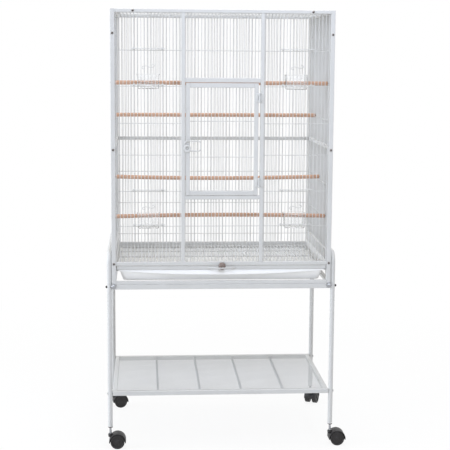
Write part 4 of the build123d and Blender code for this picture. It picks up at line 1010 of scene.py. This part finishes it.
class BIRD_CAGE_OT_bolts(bpy.types.Operator):
    """Turn the panel bolts, the acorn nuts on the legs and the clamp bolts with their washers"""

    bl_idname = "bird_cage.bolts"
    bl_label = "Bolts and nuts"

    def execute(self, context):
        sizes = context.scene.cage_sizes
        head = pan_head(sizes.bolt_head, sizes.bolt_head_height)
        shank_run, shank_radius, lead, overlap = 21.5, 2.5, 0.6, 0.1
        shank = turned([(0, -shank_run), (shank_radius - lead, -shank_run), (shank_radius, lead - shank_run),
                        (shank_radius, overlap), (0, overlap)], 14)
        bolts = bmesh.new()
        for box in solids("panel_bolts"):
            side, seat = under_head(box, 1, sizes.bolt_head_height)
            stand = facing(seat, Y_AXIS * side)
            join(bolts, head, stand)
            join(bolts, shank, stand)
        finish_piece(bolts, "pan_head_bolts", ROOT, "panel_bolts")

        nut = hex_nut(radius=sizes.acorn / 2, height=3 * MM, edge=0.35 * MM)
        dome_radius, tall = 0.4 * sizes.acorn / MM, sizes.acorn_height / MM
        dome = turned([(0, 2.6), (dome_radius, 2.6)] + arc((0, 3.2), (dome_radius, tall - 3.2), 0, 90, 6), 20)
        cover_radius, cover_edge, cover_rise = dome_radius + 1.2, 0.6, 2.6
        cover = turned([(0, 0), (cover_radius, 0), (cover_radius, cover_edge)] +
                       arc((0, cover_edge), (cover_radius, cover_rise), 0, 90, 6), 24)
        acorns, covers = bmesh.new(), bmesh.new()
        for box in solids("leg_bolts"):
            side, seat = under_head(box, 0, sizes.acorn_height)
            stand = facing(seat, X_AXIS * side, Y_AXIS)
            shank_end = -(seat.x * side - min(abs(box[0].x), abs(box[1].x))) / MM
            join(acorns, turned([(0, shank_end), (3, shank_end), (3, 0.2), (0, 0.2)], 14), stand)
            # The bolts of the shelf are under low white covers.
            if seat.z < cad_box[1][2] / 4:
                join(covers, cover, stand)
            else:
                join(acorns, nut, stand)
                join(acorns, dome, stand)
        finish_piece(acorns, "acorn_bolts", ROOT, "leg_bolts")
        finish_piece(covers, "shelf_bolt_covers", ROOT, slot="white_powder_coat")

        clamps = bmesh.new()
        head_radius, head_tall = sizes.clamp_head / 2 / MM, sizes.clamp_head_height / MM
        clamp_run, clamp_radius, washer_bore, washer_most = 13.8, 3, 3.2, 3 * MM
        cap = turned([(0, -clamp_run), (clamp_radius, -clamp_run), (clamp_radius, 0), (head_radius - 0.3, 0),
                      (head_radius, 0.4)] + arc((0, 0.8), (head_radius, head_tall - 0.8), 0, 90, 8), 28)
        for box in solids("clamp_bolts"):
            deep = box[1].y - box[0].y
            if deep < washer_most:
                side, foot = outward(box, 1)
                outer, thick = (box[1].x - box[0].x) / 2 / MM, deep / MM
                ring = [(washer_bore, 0), (outer - 0.4, 0), (outer, 0.4), (outer - 0.2, thick - 0.3),
                        (outer - 0.8, thick), (washer_bore, thick)]
                join(clamps, turned(ring, 32, closed=True), facing(foot, Y_AXIS * side))
            else:
                side, seat = under_head(box, 1, sizes.clamp_head_height)
                join(clamps, cap, facing(seat, Y_AXIS * side))
        finish_piece(clamps, "clamp_bolts_and_washers", ROOT, "clamp_bolts")
        return {"FINISHED"}


class BIRD_CAGE_OT_casters(bpy.types.Operator):
    """Mould the caster hoods and wheels, and turn their axles, stems and leg sockets"""

    bl_idname = "bird_cage.casters"
    bl_label = "Casters"

    def hood(self, sizes, trail):
        """Hood over both wheels with its web and stem boss, about the axle's middle."""
        inner = sizes.wheel / 2 + sizes.hood_gap
        outer = inner + sizes.hood_shell
        half = sizes.wheel_gap + sizes.wheel_width
        dip = asin(sizes.hood_skirt / outer)
        shell = bmesh.new()
        middle = (inner + outer) / 2
        start = middle * Vector((cos(dip), 0, -sin(dip)))
        first = ring_at(shell, start, Vector((sin(dip), 0, cos(dip))), 0, flat=(2 * half, sizes.hood_shell))
        last = swung(shell, first, Vector((0, 0, 0)), -Y_AXIS, pi + 2 * dip, 30)
        for loop in (first, last):
            bmesh.ops.edgeloop_fill(shell, edges=loop)
        bmesh.ops.recalc_face_normals(shell, faces=shell.faces[:])
        shell_edge, web_edge = 1.1 * MM, 0.8 * MM
        soften(shell, sharp_edges(shell), shell_edge, 3)

        web = bmesh.new()
        across = Matrix.Translation((0, sizes.hood_web / 2, 0)) @ Matrix.Rotation(pi / 2, 4, "X")
        bmesh.ops.create_circle(web, cap_ends=True, segments=48, radius=middle, matrix=across)
        bmesh.ops.bisect_plane(web, geom=web.verts[:] + web.edges[:] + web.faces[:],
                               plane_co=(0, 0, -sizes.hood_skirt), plane_no=(0, 0, -1), clear_outer=True)
        pushed_out(web, web.faces[:], (0, -sizes.hood_web, 0))
        bmesh.ops.recalc_face_normals(web, faces=web.faces[:])
        soften(web, sharp_edges(web), web_edge)

        # The boss has a narrow bead round it.
        bore, radius, low, high = 4.1, 8.0, 16, 28
        boss = turned([(bore, low), (radius, low), (radius, 21), (9.4, 22), (8.8, 24), (radius, 25.4),
                       (radius, high - 0.8), (radius - 0.8, high), (bore, high)], 28, closed=True)
        hood = bmesh.new()
        join(hood, shell)
        join(hood, web)
        join(hood, boss, Matrix.Translation((-trail, 0, 0)))
        return hood

    def wheel(self, sizes):
        """Wheel with a grooved tread, a dished face and a raised hub, standing on its inner face."""
        radius, width = sizes.wheel / 2 / MM, sizes.wheel_width / MM
        bore, groove, tread_round, dish = 3.1, 0.6, 2, width - 3
        # The tread has one groove round its middle.
        outline = [(0, width - 0.9), (bore, width - 0.9), (bore, 0), (radius - 2, 0), (radius - 0.6, 0.6),
                   (radius, 2), (radius, 0.44 * width), (radius - groove, 0.47 * width),
                   (radius - groove, 0.53 * width), (radius, 0.56 * width)]
        outline += arc((radius - tread_round, width - tread_round), (tread_round, tread_round), 0, 90, 4)
        outline += [(radius - 5, width), (radius - 6, width - 0.9), (radius - 7, width - 0.9),
                    (radius - 8, dish), (9.2, dish), (8.2, dish + 0.8), (8.0, width - 0.6), (7.2, width),
                    (0, width)]
        return turned(outline, 48)

    def execute(self, context):
        sizes = context.scene.cage_sizes
        wheel = self.wheel(sizes)
        half, axle_radius, edge = (sizes.wheel_gap + sizes.wheel_width) / MM - 1, 3, 0.8
        axle = turned([(0, -half), (axle_radius - edge, -half), (axle_radius, edge - half),
                       (axle_radius, half - edge), (axle_radius - edge, half), (0, half)], 18)
        for corner in CORNERS:
            swivel, spin = JOINTS[f"caster_swivel_{corner}"], JOINTS[f"wheel_spin_{corner}"]
            middle = Vector(spin["pos_m"])
            along = Vector(spin["axis"]).normalized()
            behind = middle - Vector((*swivel["pos_m"][:2], middle.z))
            hood = self.hood(sizes, behind.length)
            single_piece(hood, facing(middle, Z_AXIS, behind), f"hood_{corner}", f"caster_{corner}",
                         f"caster_hood_{corner}")
            wheels = bmesh.new()
            for side in (-1, 1):
                join(wheels, wheel, facing(middle + along * side * sizes.wheel_gap, along * side, Z_AXIS))
            finish_piece(wheels, f"wheel_pair_{corner}", f"wheels_{corner}", f"caster_wheels_{corner}")
            single_piece(axle, facing(middle, along, Z_AXIS), f"axle_{corner}", f"wheels_{corner}",
                         f"caster_axle_{corner}")

        stems, sockets = bmesh.new(), bmesh.new()
        for box in solids("caster_stems"):
            run = (box[1].z - box[0].z) / MM
            # A bearing collar sits on the stem just over the hood's boss.
            outline = [(0, 0), (3.4, 0), (4, 0.6), (4, 8.2), (5.8, 8.2), (6.2, 8.7), (6.2, 9.8), (5.6, 10.4),
                       (4, 10.6), (4, 13), (3.6, 13.4), (3.6, 14.2), (4, 14.6), (4, run), (0, run)]
            join(stems, turned(outline, 24), Matrix.Translation(underside(box)))
        finish_piece(stems, "caster_stem_rods", ROOT, "caster_stems")
        bore, sleeve, flange, flange_thick = 4.05, 6.9, 8.5, 3
        for box in solids("leg_sockets"):
            run = (box[1].z - box[0].z) / MM
            outline = [(bore, 0), (flange - 0.6, 0), (flange, 0.6), (flange, flange_thick),
                       (sleeve, flange_thick), (sleeve, run), (bore, run)]
            join(sockets, turned(outline, 28, closed=True), Matrix.Translation(underside(box)))
        finish_piece(sockets, "leg_inserts", ROOT, "leg_sockets")
        return {"FINISHED"}


def plain_view(tree):
    """Socket that is 1 for rays that show the surround itself: seen, mirrored or through clear plastic."""
    path = add_node(tree, "ShaderNodeLightPath").outputs
    mirrored = add_node(tree, "ShaderNodeMath", {0: path["Is Camera Ray"], 1: path["Is Glossy Ray"]},
                        operation="MAXIMUM")
    plain = add_node(tree, "ShaderNodeMath", {0: mirrored.outputs[0], 1: path["Is Transmission Ray"]},
                     operation="MAXIMUM")
    return plain.outputs[0]


def studio_floor(settings, colours):
    """Pale floor that fades to plain white away from the cage and still takes its shadow."""
    material, tree, place = start_material("studio_floor")
    # The shadow fades out between 0.7 m and 2.5 m from the cage's middle.
    away = add_node(tree, "ShaderNodeVectorMath", {0: place}, operation="LENGTH")
    fade = add_node(tree, "ShaderNodeMapRange", {
        "Value": away.outputs["Value"], "From Min": 0.7, "From Max": 2.5,
        "To Min": settings.floor_glow, "To Max": 1.0}, interpolation_type="SMOOTHSTEP")
    share = add_node(tree, "ShaderNodeMath", {0: plain_view(tree), 1: fade.outputs["Result"]},
                     operation="MULTIPLY")
    matt = add_node(tree, "ShaderNodeBsdfDiffuse", {"Color": rgba(colours.floor)})
    white = add_node(tree, "ShaderNodeEmission", {"Color": (1, 1, 1, 1), "Strength": 1.0})
    both = add_node(tree, "ShaderNodeMixShader", {0: share.outputs[0], 1: matt.outputs[0],
                                                  2: white.outputs[0]})
    end_material(tree, both)
    return material


def studio_world(settings):
    """White surround for the camera, and an even dimmer light for everything else."""
    world = bpy.data.worlds.new("studio_world")
    world.use_nodes = True
    tree = world.node_tree
    tree.nodes.clear()
    even = add_node(tree, "ShaderNodeBackground", {"Color": (1, 1, 1, 1), "Strength": settings.ambient})
    white = add_node(tree, "ShaderNodeBackground", {"Color": (1, 1, 1, 1), "Strength": 1.0})
    both = add_node(tree, "ShaderNodeMixShader", {0: plain_view(tree), 1: even.outputs[0],
                                                  2: white.outputs[0]})
    add_node(tree, "ShaderNodeOutputWorld", {"Surface": both.outputs[0]})
    return world


def soft_lamp(name, place, target, size, power, tint):
    """Large square lamp that looks at a point."""
    data = bpy.data.lights.new(name, "AREA")
    data.color = hex_colour(tint)
    data.size = size
    data.energy = power
    lamp = bpy.data.objects.new(name, data)
    way = Vector(target) - Vector(place)
    lamp.matrix_world = Matrix.Translation(place) @ way.to_track_quat("-Z", "Y").to_matrix().to_4x4()
    bpy.context.scene.collection.objects.link(lamp)


class BIRD_CAGE_OT_stage(bpy.types.Operator):
    """Build the floor, the lamps, the surround and the camera"""

    bl_idname = "bird_cage.stage"
    bl_label = "Studio stage"

    def execute(self, context):
        scene = context.scene
        settings = scene.cage_stage
        scene.view_settings.view_transform = "Standard"
        scene.world = studio_world(settings)

        floor_half = 14.0
        bm = bmesh.new()
        bmesh.ops.create_grid(bm, x_segments=1, y_segments=1, size=floor_half)
        mesh = bpy.data.meshes.new("studio_floor")
        bm.to_mesh(mesh)
        bm.free()
        floor = bpy.data.objects.new("studio_floor", mesh)
        scene.collection.objects.link(floor)
        mesh.materials.append(studio_floor(settings, scene.cage_colours))

        middle = centre([Vector(corner) for corner in cad_box])
        soft_lamp("key_lamp", (0.3, -2.0, 2.4), middle, 1.2, settings.key_power, "#E2EBFF")
        soft_lamp("top_lamp", (0.0, 0.3, 9.0), middle, 4.5, settings.top_power, "#FFFDF8")
        soft_lamp("left_lamp", (-6.5, -1.0, 2.2), middle, 4.5, settings.left_power, "#EAF2FF")
        soft_lamp("right_lamp", (2.5, -0.5, 1.5), middle, 1.8, settings.right_power, "#FFFBF6")

        yaw, pitch, roll = settings.camera_yaw, settings.camera_pitch, settings.camera_roll
        ahead = Vector((sin(yaw) * cos(pitch), cos(yaw) * cos(pitch), sin(pitch)))
        level = Vector((cos(yaw), -sin(yaw), 0))
        upward = level.cross(ahead)
        right = level * cos(roll) + upward * sin(roll)
        up = upward * cos(roll) - level * sin(roll)
        data = bpy.data.cameras.new("photo_camera")
        data.sensor_width = 36.0
        data.lens = settings.lens
        data.clip_end = 100.0
        camera = bpy.data.objects.new("photo_camera", data)
        turn = Matrix((right, up, -ahead)).transposed().to_4x4()
        camera.matrix_world = Matrix.Translation(settings.camera_place) @ turn
        scene.collection.objects.link(camera)
        scene.camera = camera
        return {"FINISHED"}


class BIRD_CAGE_PT_sidebar(bpy.types.Panel):
    """Lists the cage's operators and settings"""

    bl_label = "Bird cage"
    bl_idname = "BIRD_CAGE_PT_sidebar"
    bl_space_type = "VIEW_3D"
    bl_region_type = "UI"
    bl_category = "Bird cage"

    def draw(self, context):
        for operator in OPERATORS:
            self.layout.operator(operator.bl_idname)
        for group in GROUPS:
            settings = getattr(context.scene, group)
            for name in settings.__annotations__:
                self.layout.prop(settings, name)


OPERATORS = (BIRD_CAGE_OT_finishes, BIRD_CAGE_OT_perches, BIRD_CAGE_OT_perch_fasteners, BIRD_CAGE_OT_cups,
             BIRD_CAGE_OT_feeder_doors, BIRD_CAGE_OT_latch, BIRD_CAGE_OT_hinges, BIRD_CAGE_OT_grate_fittings,
             BIRD_CAGE_OT_tray, BIRD_CAGE_OT_bolts, BIRD_CAGE_OT_casters, BIRD_CAGE_OT_stage)
GROUPS = {"cage_colours": CageColours, "cage_sizes": CageSizes, "cage_stage": StageSettings}


def register():
    for group_class in GROUPS.values():
        bpy.utils.register_class(group_class)
    for name, group_class in GROUPS.items():
        setattr(bpy.types.Scene, name, PointerProperty(type=group_class))
    for cls in (*OPERATORS, BIRD_CAGE_PT_sidebar):
        bpy.utils.register_class(cls)


def unregister():
    for cls in (BIRD_CAGE_PT_sidebar, *reversed(OPERATORS)):
        bpy.utils.unregister_class(cls)
    for name, group_class in GROUPS.items():
        delattr(bpy.types.Scene, name)
        bpy.utils.unregister_class(group_class)


def main():
    register()
    bpy.ops.bird_cage.finishes()
    bpy.ops.bird_cage.perches()
    bpy.ops.bird_cage.perch_fasteners()
    bpy.ops.bird_cage.cups()
    bpy.ops.bird_cage.feeder_doors()
    bpy.ops.bird_cage.latch()
    bpy.ops.bird_cage.hinges()
    bpy.ops.bird_cage.grate_fittings()
    bpy.ops.bird_cage.tray()
    bpy.ops.bird_cage.bolts()
    bpy.ops.bird_cage.casters()
    bpy.ops.bird_cage.stage()


if __name__ == "__main__":
    main()
